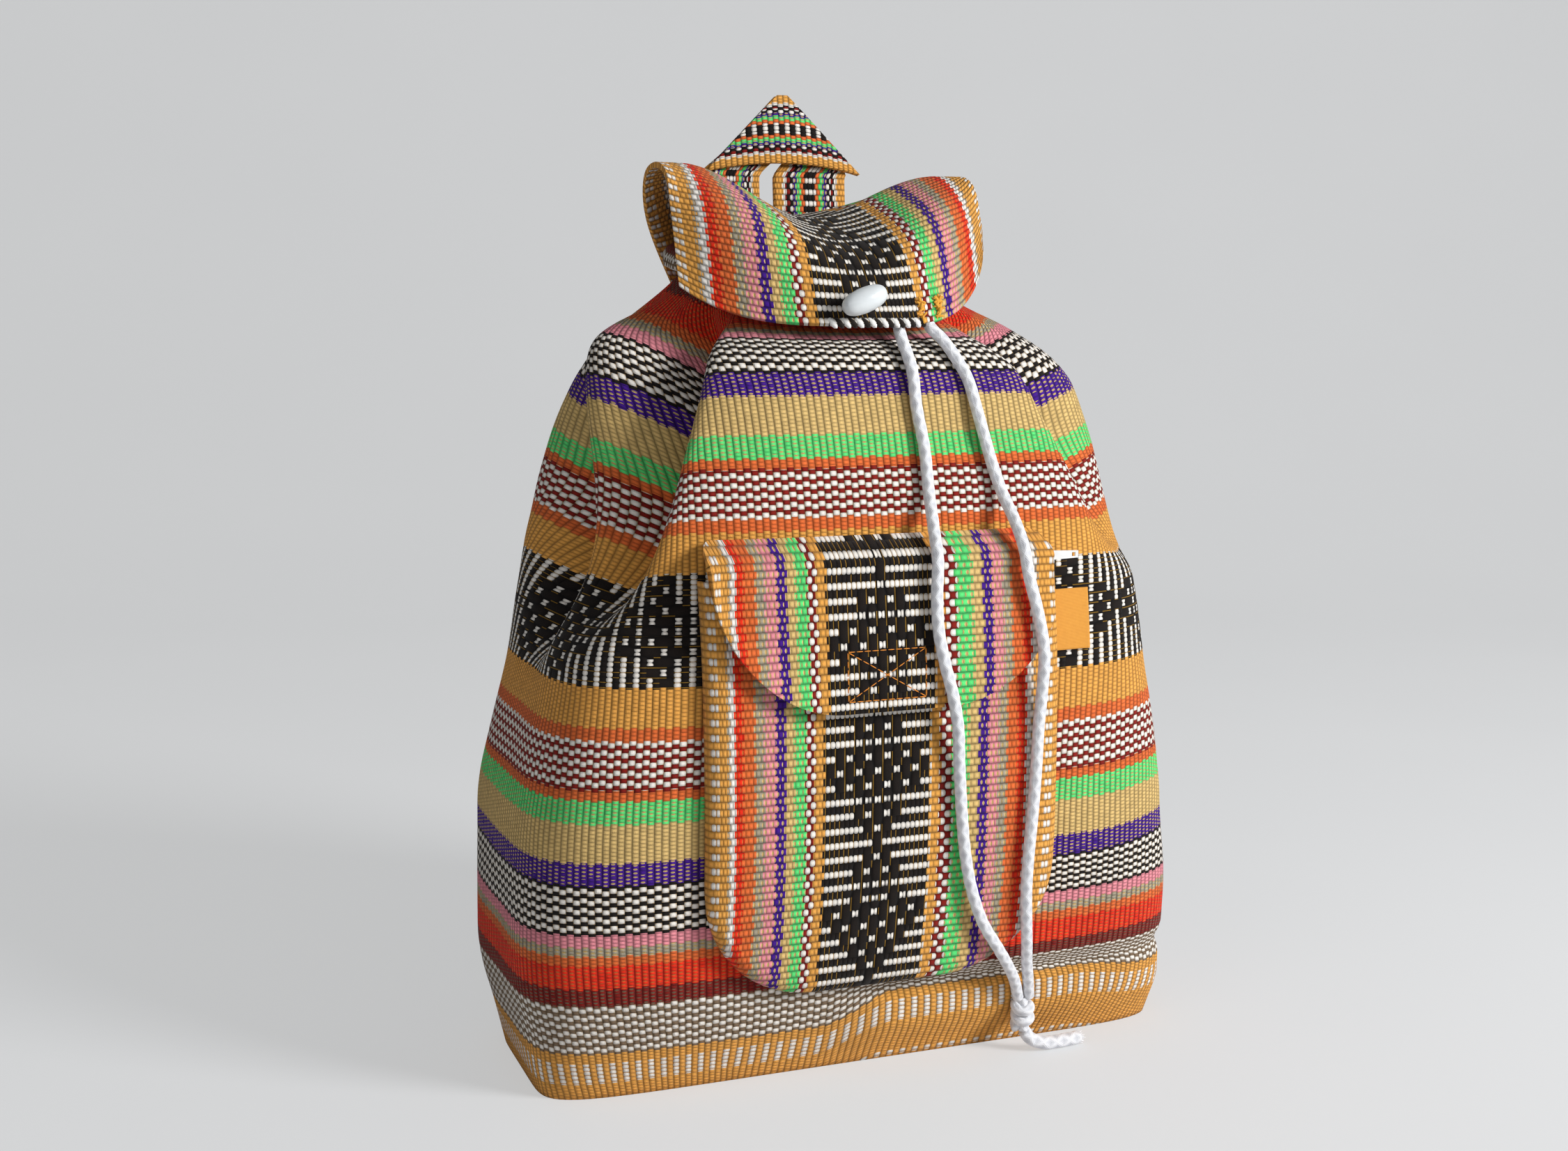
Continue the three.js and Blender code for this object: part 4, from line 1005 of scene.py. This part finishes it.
def slump_shift(point, angle):
    """How far the stripes have slid up or down at the slumped side, in millimetres."""
    z = point.z / MM
    slid = -17 * (1 - smooth_step(42, 57, z)) + 3 * smooth_step(50, 64, z)
    slid += 5 * smooth_step(88, 112, z) - 8 * smooth_step(140, 262, z)
    return slid * slumped(point, angle)


wall_rows = BODY_ROWS - BASE_ROWS
threads = [level_threads(k / wall_rows) for k in range(wall_rows + 1)]
print("levels with threads:", len(threads))


# %% Bag body
def body_row(t):
    return round(t * BODY_ROWS) - BASE_ROWS


def body_place(s, t):
    row, angle = body_row(t), 360 * s - 180
    if row >= 0:
        return body_surface(angle, row / wall_rows)
    edge = bag_point(angle, 0)
    share = 1 + row / BASE_ROWS
    return Vector((edge.x * share, edge.y * share, 0))


def body_thread(s, t):
    row, angle = body_row(t), 360 * s - 180
    up = max(row, 0) / wall_rows
    v = BAG_HEIGHT / MM * up + slump_shift(bag_point(angle, up), angle)
    u = threads[max(row, 0)][round(s * BODY_COLUMNS)]
    return u, v + min(row, 0) / BASE_ROWS * BASE_REACH


bag_body = cloth("bag_body_cloth", BODY_COLUMNS, BODY_ROWS, body_place, body_thread, body_cloth, CLOTH)
as_sheet(
    bag_body, "bag_body", "bag_cloth", flat=(1.05, 0.47), held="gathered", rests_on=["drawcord_neck"]
)

# %% [markdown]
# ## Neck hem
# The mouth ends in a folded hem that the drawcord runs in. It stands on the rim: up the inside,
# over the top in a soft roll and down outside the cord.

# %% Neck hem
HEM_HEIGHT = 14 * MM
HEM_CHANNEL = 9 * MM
HEM_PUCKER = 0.35
HEM_MAP_TOP = 428
HEM_MAP_LONG = 26
HEM_PATH = [
    Vector((out, up, 0))
    for out, up in (
        (-1.1, 0.5), (-1.1, 9), (1.2, 12.2), (4.5, 12.9), (8, 12.2), (10.1, 9.4), (10.1, 5),
    )
]


def hem_place(s, t):
    angle = 360 * s - 180
    across = smooth_line(HEM_PATH, 1 - t)
    pucker = math.cos(math.radians(angle) * PUCKERS) * HEM_PUCKER
    point = bag_point(angle, 1, (across.x + pucker) * MM)
    return point + Vector((0, 0, across.y * MM)) + neck_sag(angle, 1)


def hem_thread(s, t):
    return (s - 0.5) * BODY_GIRTH, HEM_MAP_TOP - HEM_MAP_LONG * t


hem = cloth("neck_hem_cloth", 204, 16, hem_place, hem_thread, body_cloth, CLOTH, 0.0)
as_sheet(hem, "neck_casing", "bag_cloth", flat=(0.40, 0.03), held="gathered", rests_on=[bag_body])

# %% Cord in the hem
CORD_EXITS = (20, 40)
CORD_BEND = 11
NECK_STEPS = 26
CORD_PLAY = 0.6 * MM
CORD_IN_HEM = HEM_HEIGHT - CLOTH - CORD_PLAY - CORD / 2


def at_rim(angle):
    rise = Vector((0, 0, CORD_IN_HEM))
    return bag_point(angle, 1, CORD / 2 + CORD_PLAY) + rise + neck_sag(angle, 1)


def neck_route():
    """From the top of one tail, round the neck inside the hem, to the top of the other."""
    left, right = CORD_EXITS
    begin, end = right + CORD_BEND, 360 + left - CORD_BEND
    rounds = [at_rim(begin + (end - begin) * k / NECK_STEPS) for k in range(NECK_STEPS + 1)]
    return [RIGHT_TAIL[0], *rounds, LEFT_TAIL[0]]


neck_cord, neck_line = drawcord("cord_in_hem", "drawcord_neck", neck_route())
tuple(neck_line[0])
round(length_of(neck_line), 3)

# %% [markdown]
# ## Top flap
# A stiff arched flap is sewn to the back of the neck, passes over the mouth in a saddle and
# buttons in front. Each rib of it is a smooth line through seven points, from the seam behind,
# over the hem and the crest, to the front edge, and the points depend on the place across.

# %% Shape of the top flap
FLAP_HALF = 86 * MM
RIM = BAG_HEIGHT + HEM_HEIGHT
FLAP_CLEAR = HEM_CHANNEL + CLOTH + 1.5 * MM
FLAP_EDGE = BAG_HEIGHT - 39 * MM
FLAP_THICK = 3 * MM
FLAP_SEAM_UP = 1 - 19 / 420
FLAP_SEAM_SPREAD = 52
FLAP_HEM_SPREAD = 58
# On each side, in millimetres: the height of the horn, how far the front corner curls back and
# how far it rises; then how far out it reaches
FLAP_LEFT = (26, 44, 19, 0.98)
FLAP_RIGHT = (23, 40, 38, 0.95)
flap_front = bag_y(0, FLAP_EDGE) - 9 * MM


def flap_rib(u):
    """Seven places along one rib, from the seam over the crest to the front edge."""
    out = u * u
    seam = bag_point(180 - FLAP_SEAM_SPREAD * u, FLAP_SEAM_UP, 1.5 * MM)
    behind = bag_point(180 - FLAP_HEM_SPREAD * u, 1, FLAP_CLEAR)
    behind.z = RIM + 2 * MM + 2 * MM * out
    behind = behind.lerp(Vector((0.94 * FLAP_HALF * u, 42 * MM, behind.z)), out * out)
    horn, curl, rise, reach = FLAP_LEFT if u < 0 else FLAP_RIGHT
    valley = smooth_step(0, 0.85, abs(u))
    crest = Vector((FLAP_HALF * u, NECK_SETBACK - 5 * MM * out, RIM + 1 * MM + horn * MM * valley))
    back_top = crest + Vector((0, 15 * MM, -1.5 * MM - 2.5 * MM * out))
    front_top = crest + Vector((0, -16 * MM, -4 * MM - 1 * MM * out))
    shoulder_z = RIM - 23 * MM + 27 * MM * valley
    shoulder = Vector((0.98 * FLAP_HALF * u, -45 * MM + 34 * MM * out, shoulder_z))
    edge_y = flap_front + curl * MM * out
    edge = Vector((reach * FLAP_HALF * u, edge_y, FLAP_EDGE + rise * MM * out * out))
    return [seam, behind, back_top, crest, front_top, shoulder, edge]


def flap_point(u, w):
    """A place on the flap; w goes along the rib by the distances between its places."""
    rib = flap_rib(u)
    steps = [(b - a).length for a, b in zip(rib, rib[1:])]
    want, k = w * sum(steps), 0
    while k < len(steps) - 1 and want > steps[k]:
        want -= steps[k]
        k += 1
    return smooth_line(rib, (k + min(want / steps[k], 1)) / len(steps))


def flap_normal(u, w):
    step = 0.01
    across = flap_point(u + step, w) - flap_point(u - step, w)
    along = flap_point(u, min(w + step, 1)) - flap_point(u, max(w - step, 0))
    return along.cross(across).normalized()


print("middle of the flap's front edge:", [round(c, 4) for c in flap_point(0, 1)])

# %% Top flap
FLAP_COLUMNS = 110
FLAP_ROWS = 96
FLAP_LONG = 212.0
FLAP_STRIPES = 88


def flap_place(s, t):
    u, w = 2 * s - 1, 1 - t
    return flap_point(u, w) + flap_normal(u, w) * FLAP_THICK


def flap_thread(s, t):
    return (1 - t) * FLAP_LONG, (2 * s - 1) * FLAP_STRIPES


def round_edges(piece, width):
    rounding = piece.modifiers.new("rounding", "BEVEL")
    rounding.width = width
    rounding.segments = 3
    rounding.limit_method = "ANGLE"
    rounding.angle_limit = math.radians(50)


top_flap = cloth(
    "top_flap_cloth", FLAP_COLUMNS, FLAP_ROWS, flap_place, flap_thread, pocket_cloth, FLAP_THICK
)
round_edges(top_flap, 1.3 * MM)
as_sheet(top_flap, "top_flap", "pocket_cloth", flat=(0.182, 0.225), held="hung", rests_on=[bag_body])

# %% [markdown]
# ## Hang loop and straps
# One narrow band makes the loop and the straps. For the loop it goes up the left leg, is folded
# over on a slant into a level run, and is folded again down the right leg, so the level run
# shows as a triangle. Each stretch is a grid whose ends are cut on the slant.

# %% Shape of the hang loop
BAND = 43 * MM
BAND_THICK = 2.8 * MM
LOOP_GAP = 6 * MM
LOOP_SEWN = 36 * MM
LEG_PULL = {-1: -11 * MM, 1: -8 * MM}
LOOP_HEIGHT = 128 * MM
LOOP_INSIDE = LOOP_GAP / 2
LOOP_OUTSIDE = LOOP_INSIDE + BAND
LOOP_RUN = LOOP_HEIGHT - LOOP_OUTSIDE
LOOP_LEAN = math.radians(4)
LEG_BEND = (79 * MM, 93 * MM)
LEFT_LEG_SPREAD = 0.8
RUN_BOW = (5 * MM, 4 * MM)
LOOP_FOOT = Vector((13 * MM, 0, BAG_HEIGHT - LOOP_SEWN))
loop_seat = max(bag_y(LOOP_FOOT.x + k * LOOP_OUTSIDE / 12, LOOP_FOOT.z, True) for k in range(-12, 13))
LOOP_FOOT.y = loop_seat + SEAM + BAND_THICK


def loop_place(x, y, forward):
    """A place on the flat loop: across, up, and how far in front of the legs' backs."""
    up = Vector((0, math.sin(LOOP_LEAN), math.cos(LOOP_LEAN)))
    out = Vector((0, -math.cos(LOOP_LEAN), math.sin(LOOP_LEAN)))
    return LOOP_FOOT + Vector((x, 0, 0)) + up * y + out * forward


def leg_top(side, s):
    """Height of a leg's slanted cut, highest at the inner edge."""
    return LOOP_RUN + BAND * (1 - s if side > 0 else s)


def leg_place(side):
    def place(s, t):
        x = side * (LOOP_INSIDE + BAND * (s if side > 0 else 1 - s))
        up = t * leg_top(side, s)
        pulled = LEG_PULL[side] * (1 - smooth_step(*LEG_BEND, up))
        if side < 0:
            pulled *= 1 - LEFT_LEG_SPREAD * (1 - s)
        return loop_place(x + pulled, up, BAND_THICK / 2)

    return place


def leg_thread(side):
    def thread(s, t):
        return t * leg_top(side, s) / MM, (s - 0.5) * BAND / MM

    return thread


def run_place(s, t):
    half = LOOP_OUTSIDE - BAND * t
    x = (2 * s - 1) * half
    bow = (1 - (2 * s - 1) ** 2) * (1 - t)
    up_bow, out_bow = RUN_BOW
    return loop_place(x, LOOP_RUN + BAND * t + up_bow * bow, BAND_THICK * 1.7 + out_bow * bow)


def run_thread(s, t):
    half = LOOP_OUTSIDE - BAND * t
    return (2 * s - 1) * half / MM, (t - 0.5) * BAND / MM


print("hang loop seat:", round(loop_seat, 4))

# %% Hang loop
SIDES = ((-1, "left"), (1, "right"))


def band(name, columns, rows, place, thread):
    return cloth(name, columns, rows, place, thread, band_cloth, BAND_THICK, 0.0)


for side, word in SIDES:
    leg = band(f"loop_{word}_leg", 22, 50, leg_place(side), leg_thread(side))
    as_sheet(
        leg, "hang_loop", "band", flat=(0.043, 0.125), area=0.0045, held="folded", rests_on=[bag_body]
    )
run = band("loop_level_run", 60, 24, run_place, run_thread)
as_sheet(
    run, "hang_loop", "band", flat=(0.092, 0.043), area=0.0021, held="folded", rests_on=[bag_body]
)

# %% [markdown]
# The shoulder straps are sewn under the loop, hang slack behind the back and end at the lower
# corners. A strap is a strip along a smooth route, always level across.

# %% Shoulder straps
STRAP_TOP = BAG_HEIGHT - LOOP_SEWN - 3 * MM
STRAP_LEAD = 24 * MM
STRAP_SLACK = 24 * MM
STRAP_LIFT = 4 * MM
STRAP_CROWN = 0.8 * MM
STRAP_END = (BAG_WIDTH * 0.34, 15 * MM)
# Share of the bag's width, share of the height and share of the slack at three free points
STRAP_RUN = [(0.12, 0.72, 1), (0.25, 0.46, 1.15), (0.32, 0.24, 0.85)]


def on_back(x, z):
    return max(bag_y(x + k * BAND, z, True) for k in (-0.5, 0, 0.5)) + BAND_THICK / 2 + SEAM


def strap_route():
    top_x, (end_x, end_z) = LOOP_INSIDE + BAND / 2, STRAP_END
    free = [
        Vector((BAG_WIDTH * across, BAG_DEPTH / 2 + STRAP_SLACK * slack, STRAP_TOP * up))
        for across, up, slack in STRAP_RUN
    ]
    lead_top, lead_end = STRAP_TOP - STRAP_LEAD, end_z + STRAP_LEAD
    return [
        Vector((top_x, on_back(top_x, STRAP_TOP), STRAP_TOP)),
        Vector((top_x, on_back(top_x, lead_top) + STRAP_LIFT, lead_top)),
        *free,
        Vector((end_x, on_back(end_x, lead_end) + STRAP_LIFT, lead_end)),
        Vector((end_x, on_back(end_x, end_z), end_z)),
    ]


strap_line = even_line(strap_route(), 3 * MM)
strap_long = length_of(strap_line)


def strap_place(side):
    def place(s, t):
        at = min(round((1 - t) * (len(strap_line) - 1)), len(strap_line) - 1)
        ahead = strap_line[min(at + 1, len(strap_line) - 1)] - strap_line[max(at - 1, 0)]
        across = Vector((-ahead.z, 0, ahead.x)).normalized()
        out = ahead.cross(across).normalized()
        wide = (0.5 - s) * side
        crown = out * STRAP_CROWN * (1 - (2 * wide) ** 2)
        point = strap_line[at] + across * wide * -BAND + crown
        return Vector((point.x * side, point.y, point.z))

    return place


def strap_thread(s, t):
    return (1 - t) * strap_long / MM, (s - 0.5) * BAND / MM


for side, word in SIDES:
    strap = band(f"strap_{word}_band", 20, len(strap_line) - 1, strap_place(side), strap_thread)
    flat = (0.043, round(strap_long, 3))
    as_sheet(strap, f"shoulder_strap_{word}", "band", flat=flat, held="hung", rests_on=[bag_body])
print("strap length:", round(strap_long, 3))

# %% [markdown]
# ## Front pocket
# The patch pocket has round lower corners and rolls down to the bag at its edges, because its
# hem is turned under. Its stripes stand upright, so its map is the body's turned by a quarter:
# u runs up the pocket and v across it.

# %% Pocket shape
POCKET_HALF = 94 * MM
POCKET_MIDDLE = -4 * MM
POCKET_BOTTOM = 52 * MM
POCKET_TOP = 262 * MM
POCKET_CORNER = 62 * MM
POCKET_DEPTH = 8 * MM
POCKET_ROLL = 10 * MM
# Share of the grid's steps that crowd into a share of the way at an edge
SIDE_CROWD = (0.14, 0.06)
FOOT_CROWD = (0.12, 0.06)
# Millimetres from the middle stripe to x = 0, how much the right half gives and where it does,
# and where the left edge rolls under and how much of each millimetre goes there
STRIPE_SHIFT = 12.3
STRIPE_EASE = 7
STRIPE_EASED = (28, 58)
STRIPE_ROLL = 71
STRIPE_ROLLED = 0.33


def pocket_edge(x):
    over = max(abs(x - POCKET_MIDDLE) - (POCKET_HALF - POCKET_CORNER), 0)
    return POCKET_BOTTOM + POCKET_CORNER - math.sqrt(max(POCKET_CORNER**2 - over**2, 0))


def rolled(inwards):
    return math.sqrt(1 - (1 - clamp(inwards / POCKET_ROLL)) ** 2)


def pocket_front(x, z):
    rise = rolled(POCKET_HALF - abs(x - POCKET_MIDDLE)) * rolled(z - pocket_edge(x))
    return bag_y(x, z) - SEAM - POCKET_DEPTH * rise - CLOTH


def crowd_low(s, share, edge):
    """Spread grid steps so that a share of them falls in the first edge."""
    if s < share:
        return edge * (1 - (1 - s / share) ** 2)
    return edge + (1 - edge) * (s - share) / (1 - share)


def crowd_sides(s):
    """The same at both ends."""
    share, edge = SIDE_CROWD
    if s > 1 - share:
        return 1 - crowd_sides(1 - s)
    if s < share:
        return crowd_low(s, share, edge)
    return edge + (1 - 2 * edge) * (s - share) / (1 - 2 * share)


def pocket_place(s, t):
    x = POCKET_MIDDLE + (2 * crowd_sides(s) - 1) * POCKET_HALF
    low = pocket_edge(x)
    z = low + (POCKET_TOP - low) * crowd_low(t, *FOOT_CROWD)
    return Vector((x, pocket_front(x, z), z))


def stripe_place(x):
    """Distance from the middle stripe; the right half is eased and the left edge rolls under."""
    away = x / MM + STRIPE_SHIFT
    eased = STRIPE_EASE * smooth_step(*STRIPE_EASED, away)
    return away - eased - STRIPE_ROLLED * max(-away - STRIPE_ROLL, 0)


def upright_thread(place, raised=0.0):
    def thread(s, t):
        point = place(s, t)
        return point.z / MM + raised, stripe_place(point.x)

    return thread


pocket = cloth(
    "front_pocket_cloth", 120, 120, pocket_place, upright_thread(pocket_place), pocket_cloth, CLOTH
)
as_sheet(
    pocket, "front_pocket", "pocket_cloth", flat=(0.19, 0.212), area=0.0375, held="stretched",
    rests_on=[bag_body],
)

# %% Pocket flap
ZIP_LINE = POCKET_TOP + 5.5 * MM
FLAP_SEAM_LINE = ZIP_LINE + 8 * MM
POCKET_FLAP_TOP = FLAP_SEAM_LINE + 5.5 * MM
POCKET_FLAP_BOTTOM = 197.5 * MM
POCKET_FLAP_LEFT = POCKET_MIDDLE - POCKET_HALF
POCKET_FLAP_RIGHT = 82.5 * MM
POCKET_FLAP_TURN = 269 * MM
POCKET_FLAP_CORNER = (68 * MM, 74 * MM)
POCKET_FLAP_STACK = 3.9 * MM
POCKET_FLAP_CLEAR = -104.4 * MM
POCKET_FLAP_TOP_CORNER = 8 * MM
POCKET_FLAP_LIFT = 2.2 * MM
POCKET_FLAP_RAISED = 9.3


def pocket_flap_edge(x):
    wide, high = POCKET_FLAP_CORNER
    t = clamp((abs(x - POCKET_MIDDLE) - POCKET_HALF + wide) / wide)
    return POCKET_FLAP_BOTTOM + high * (1 - math.sqrt(1 - t * t))


def pocket_flap_top(x):
    corner = POCKET_FLAP_TOP_CORNER
    over = max(POCKET_FLAP_LEFT + corner - x, x - POCKET_FLAP_RIGHT + corner, 0)
    return POCKET_FLAP_TOP - corner + math.sqrt(max(corner**2 - over**2, 0))


def pocket_flap_back(x, z):
    hang = min(pocket_front(x, min(z, POCKET_TOP)) - POCKET_FLAP_STACK, POCKET_FLAP_CLEAR)
    over = clamp((z - POCKET_FLAP_TURN) / (POCKET_FLAP_TOP - POCKET_FLAP_TURN))
    sewn = bag_y(x, z) - SEAM
    at_edge = 1 - smooth_step(0, 0.02, z - pocket_flap_edge(x))
    lifted = POCKET_FLAP_LIFT * smooth_step(-0.02, -0.06, x) * at_edge
    return sewn + (hang - sewn) * (1 - over**1.4) - lifted


def pocket_flap_place(s, t):
    x = POCKET_FLAP_LEFT + (POCKET_FLAP_RIGHT - POCKET_FLAP_LEFT) * crowd_sides(s)
    top = pocket_flap_top(x)
    low = min(pocket_flap_edge(x), top - 4 * MM)
    z = low + (top - low) * t
    return Vector((x, pocket_flap_back(x, z) - CLOTH, z))


flap_map = upright_thread(pocket_flap_place, POCKET_FLAP_RAISED)
pocket_flap = cloth("pocket_flap_cloth", 110, 80, pocket_flap_place, flap_map, pocket_cloth, CLOTH)
round_edges(pocket_flap, 0.9 * MM)
as_sheet(
    pocket_flap, "pocket_flap", "pocket_cloth", flat=(0.19, 0.09), area=0.0135, held="hung",
    rests_on=[bag_body, pocket],
)

# %% [markdown]
# ## Label tab
# A bare woven tab is sewn into the pocket's right edge. It is a small sheet that follows the
# bag and lifts a little at its free end.

# %% Label tab
LABEL = (21 * MM, 31 * MM)
LABEL_LEFT = POCKET_MIDDLE + POCKET_HALF + SEAM
LABEL_TOP = POCKET_TOP - 13 * MM
LABEL_THICK = 0.8 * MM
LABEL_LIFT = 1.2 * MM


def label_place(s, t):
    x, z = LABEL_LEFT + LABEL[0] * s, LABEL_TOP - LABEL[1] * (1 - t)
    return Vector((x, bag_y(x, z) - SEAM - LABEL_THICK - LABEL_LIFT * s**3, z))


def label_thread(s, t):
    return LABEL[0] / MM * s, LABEL[1] / MM * t


def satin_tab():
    paint = Paint("label_satin", 0.6, Specular_IOR_Level=0.3, Sheen_Weight=0.2)
    thread, _, up = paint.weave_map()
    lines = (up * 14).math("SINE") * 0.5 + 0.5
    fade = paint.speckle(thread, 0.4, 3.0)
    colour = paint.mix(lines * 0.4 + fade * 0.4, linear("c8801c"), linear("eca838"))
    return paint.shade(Base_Color=colour, Normal=paint.bump(0.4, 0.0002, lines))


label = cloth("label_tab_cloth", 24, 32, label_place, label_thread, satin_tab(), LABEL_THICK)
as_sheet(label, "label_tab", "label", flat=(0.021, 0.031), held="laid", rests_on=[bag_body])

# %% [markdown]
# ## Stitches
# Thread stands proud of the cloth, so each stitch is a small capsule: a sphere with few faces
# that is stretched between two points of the surface. A box with a cross in it holds the
# fastening patch behind the pocket flap.

# %% Stitches
STITCH = 4.2 * MM
THREAD = 0.55 * MM
PATCH_MIDDLE = -10 * MM
PATCH_LOW = 203.5 * MM
PATCH = (41 * MM, 24 * MM)


def yarn_paint(name, colour):
    paint = Paint(name, 0.85, Specular_IOR_Level=0.2, Sheen_Weight=0.1)
    fuzz = paint.speckle(paint.object_place(), 1400.0, 2.0)
    return paint.shade(Base_Color=paint.dim(linear(colour)[:3], 0.75 + fuzz * 0.5))


def on_pocket_flap(x, z):
    return Vector((x, pocket_flap_back(x, z) - CLOTH - 0.15 * MM, z))


def boxed_cross():
    left, right = PATCH_MIDDLE - PATCH[0] / 2, PATCH_MIDDLE + PATCH[0] / 2
    low, high = PATCH_LOW, PATCH_LOW + PATCH[1]
    corners = [(left, low), (right, low), (right, high), (left, high)]
    lines = list(zip(corners, corners[1:] + corners[:1]))
    lines += [(corners[0], corners[2]), (corners[1], corners[3])]
    bm = bmesh.new()
    for (x0, z0), (x1, z1) in lines:
        count = round(math.hypot(x1 - x0, z1 - z0) / STITCH)
        for k in range(count):
            ends = [(k + share) / count for share in (0.05, 0.95)]
            start, end = (on_pocket_flap(x0 + (x1 - x0) * t, z0 + (z1 - z0) * t) for t in ends)
            capsule(bm, start, end, THREAD)
    return bm


orange_thread = yarn_paint("orange_thread", "e08a34")
box_stitches = bag_piece(boxed_cross(), "pocket_flap_stitches", orange_thread)
print("box stitches:", len(box_stitches.data.polygons), "faces")

# %% Flap edge stitches
OVERCAST = (-0.24, 0.34)
OVERCAST_COUNT = 16
OVERCAST_YARN = 3.3 * MM
RAGGED_MIDDLE = 0.43
RAGGED_SPREAD = 0.09
RAGGED_COUNT = 32
RAGGED_YARN = 1.5 * MM


def overcast(parity):
    """Slanted stitches over the flap's front edge; every other one belongs to each yarn."""
    bm = bmesh.new()
    begin, end = OVERCAST
    for k in range(parity, OVERCAST_COUNT, 2):
        u = begin + (end - begin) * k / (OVERCAST_COUNT - 1)
        edge, out = flap_point(u, 1), flap_normal(u, 1)
        down = (edge - flap_point(u, 0.97)).normalized()
        across = (flap_point(u + 0.02, 1) - edge).normalized()
        middle = edge + out * FLAP_THICK * 0.75 - down * 0.6 * MM
        lean = across * 2 * MM + down * 2.9 * MM
        capsule(bm, middle - lean, middle + lean, OVERCAST_YARN)
    return bm


def ragged_thread():
    """Loose turns of thread that bind the end of the buttonhole."""
    bm = bmesh.new()
    for k in range(RAGGED_COUNT):
        u = RAGGED_MIDDLE + RAGGED_SPREAD * math.sin(2.1 * k + 0.4)
        w = 0.99 - 0.045 * abs(math.sin(1.3 * k))
        start = flap_point(u, w) + flap_normal(u, w) * (FLAP_THICK + 1 * MM)
        swing = Vector((math.cos(1.9 * k), -0.25 + 0.2 * math.sin(k), math.sin(1.9 * k)))
        capsule(bm, start - swing * 2.2 * MM, start + swing * 3 * MM, RAGGED_YARN)
    return bm


white_yarn, black_yarn = yarn_paint("white_yarn", "e9e8e4"), yarn_paint("black_yarn", "201914")
bag_piece(overcast(0), "flap_edge_white", white_yarn)
bag_piece(overcast(1), "flap_edge_black", black_yarn)
gold_thread = yarn_paint("gold_thread", "e0a23e")
ragged = bag_piece(ragged_thread(), "buttonhole_thread", gold_thread)
print("buttonhole thread:", len(ragged.data.polygons), "faces")

# %% [markdown]
# ## Toggle
# The bead is a white barrel. Half its outline is a row of points that is spun round its axis.

# %% Toggle bead
BEAD_LONG = 24 * MM
BEAD_WIDE = 12.5 * MM
BEAD_TILT = math.radians(22)
BEAD_STEPS = 16
bead_low, bead_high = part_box("toggle_bead")
BEAD_AT = (Vector(bead_low) + Vector(bead_high)) / 2


def barrel_bead():
    bm = bmesh.new()
    outline = []
    for k in range(BEAD_STEPS + 1):
        turn = math.pi * (k / BEAD_STEPS - 0.5)
        reach = BEAD_WIDE / 2 * max(math.cos(turn), 0) ** 0.7
        outline.append(bm.verts.new((reach, 0, BEAD_LONG / 2 * math.sin(turn))))
    edges = [bm.edges.new(pair) for pair in zip(outline, outline[1:])]
    bmesh.ops.spin(
        bm, geom=outline + edges, cent=(0, 0, 0), axis=(0, 0, 1), dvec=(0, 0, 0),
        angle=2 * math.pi, steps=36, use_merge=True,
    )
    bmesh.ops.remove_doubles(bm, verts=bm.verts, dist=1e-6)
    bmesh.ops.recalc_face_normals(bm, faces=bm.faces)
    turn = Matrix.Rotation(math.pi / 2 - BEAD_TILT, 4, "Y")
    bmesh.ops.transform(bm, matrix=Matrix.Translation(BEAD_AT) @ turn, verts=bm.verts)
    return bm


def speckled(name, roughness, dark, light, scale, detail, bump=None, **constants):
    """A material of two colours in cloudy spots; bump is its strength and its depth in metres."""
    paint = Paint(name, roughness, **constants)
    spots = paint.speckle(paint.object_place(), scale, detail)
    paint.shade(Base_Color=paint.mix(spots, linear(dark), linear(light)))
    if bump:
        paint.shade(Normal=paint.bump(*bump, spots))
    return paint.material


glaze = speckled(
    "glazed_bead", 0.28, "d2d8da", "e2e6e7", 180.0, 4.0, (0.25, 0.0004),
    Specular_IOR_Level=0.5, Coat_Weight=0.3,
)
bag_piece(barrel_bead(), "toggle_bead_barrel", glaze, "toggle_bead")
print("bead at", [round(c, 4) for c in BEAD_AT])

# %% [markdown]
# ## Solids that stay
# The zip, the fastening patches and the toggle's shank are already the right shape, so they
# keep their meshes and only get better materials. They read Object coordinates, since they
# have no weave map.


# %% Zip, patches and shank
def zip_twill():
    paint = Paint("zip_twill", 0.85, Specular_IOR_Level=0.2)
    across = paint.node("ShaderNodeSeparateXYZ", {}, (paint.object_place(),))
    teeth = (across * 4200).math("SINE") * 0.5 + 0.5
    colour = paint.mix(teeth, linear("b9b6ae"), linear("efede6"))
    return paint.shade(Base_Color=colour, Normal=paint.bump(0.6, 0.0005, teeth))


def finish_node(name, material):
    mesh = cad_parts[name].data
    mesh.materials.clear()
    mesh.materials.append(material)


enamel = speckled("white_enamel", 0.32, "d8d9d8", "f3f3f1", 260.0, 3.0, Specular_IOR_Level=0.5)
twill = zip_twill()
pile = speckled(
    "hook_pile", 0.95, "17140f", "4a433b", 900.0, 3.0, (0.8, 0.0006),
    Specular_IOR_Level=0.1, Sheen_Weight=0.3,
)
for name in ("zip_stop_left", "zip_stop_right", "zip_slider", "zip_pull"):
    finish_node(name, enamel)
for name in ("zip_tape_upper", "zip_tape_lower"):
    finish_node(name, twill)
for name in ("pocket_loop_patch", "flap_hook_patch"):
    finish_node(name, pile)
finish_node("toggle_shank", white_yarn)
print("kept solids finished")
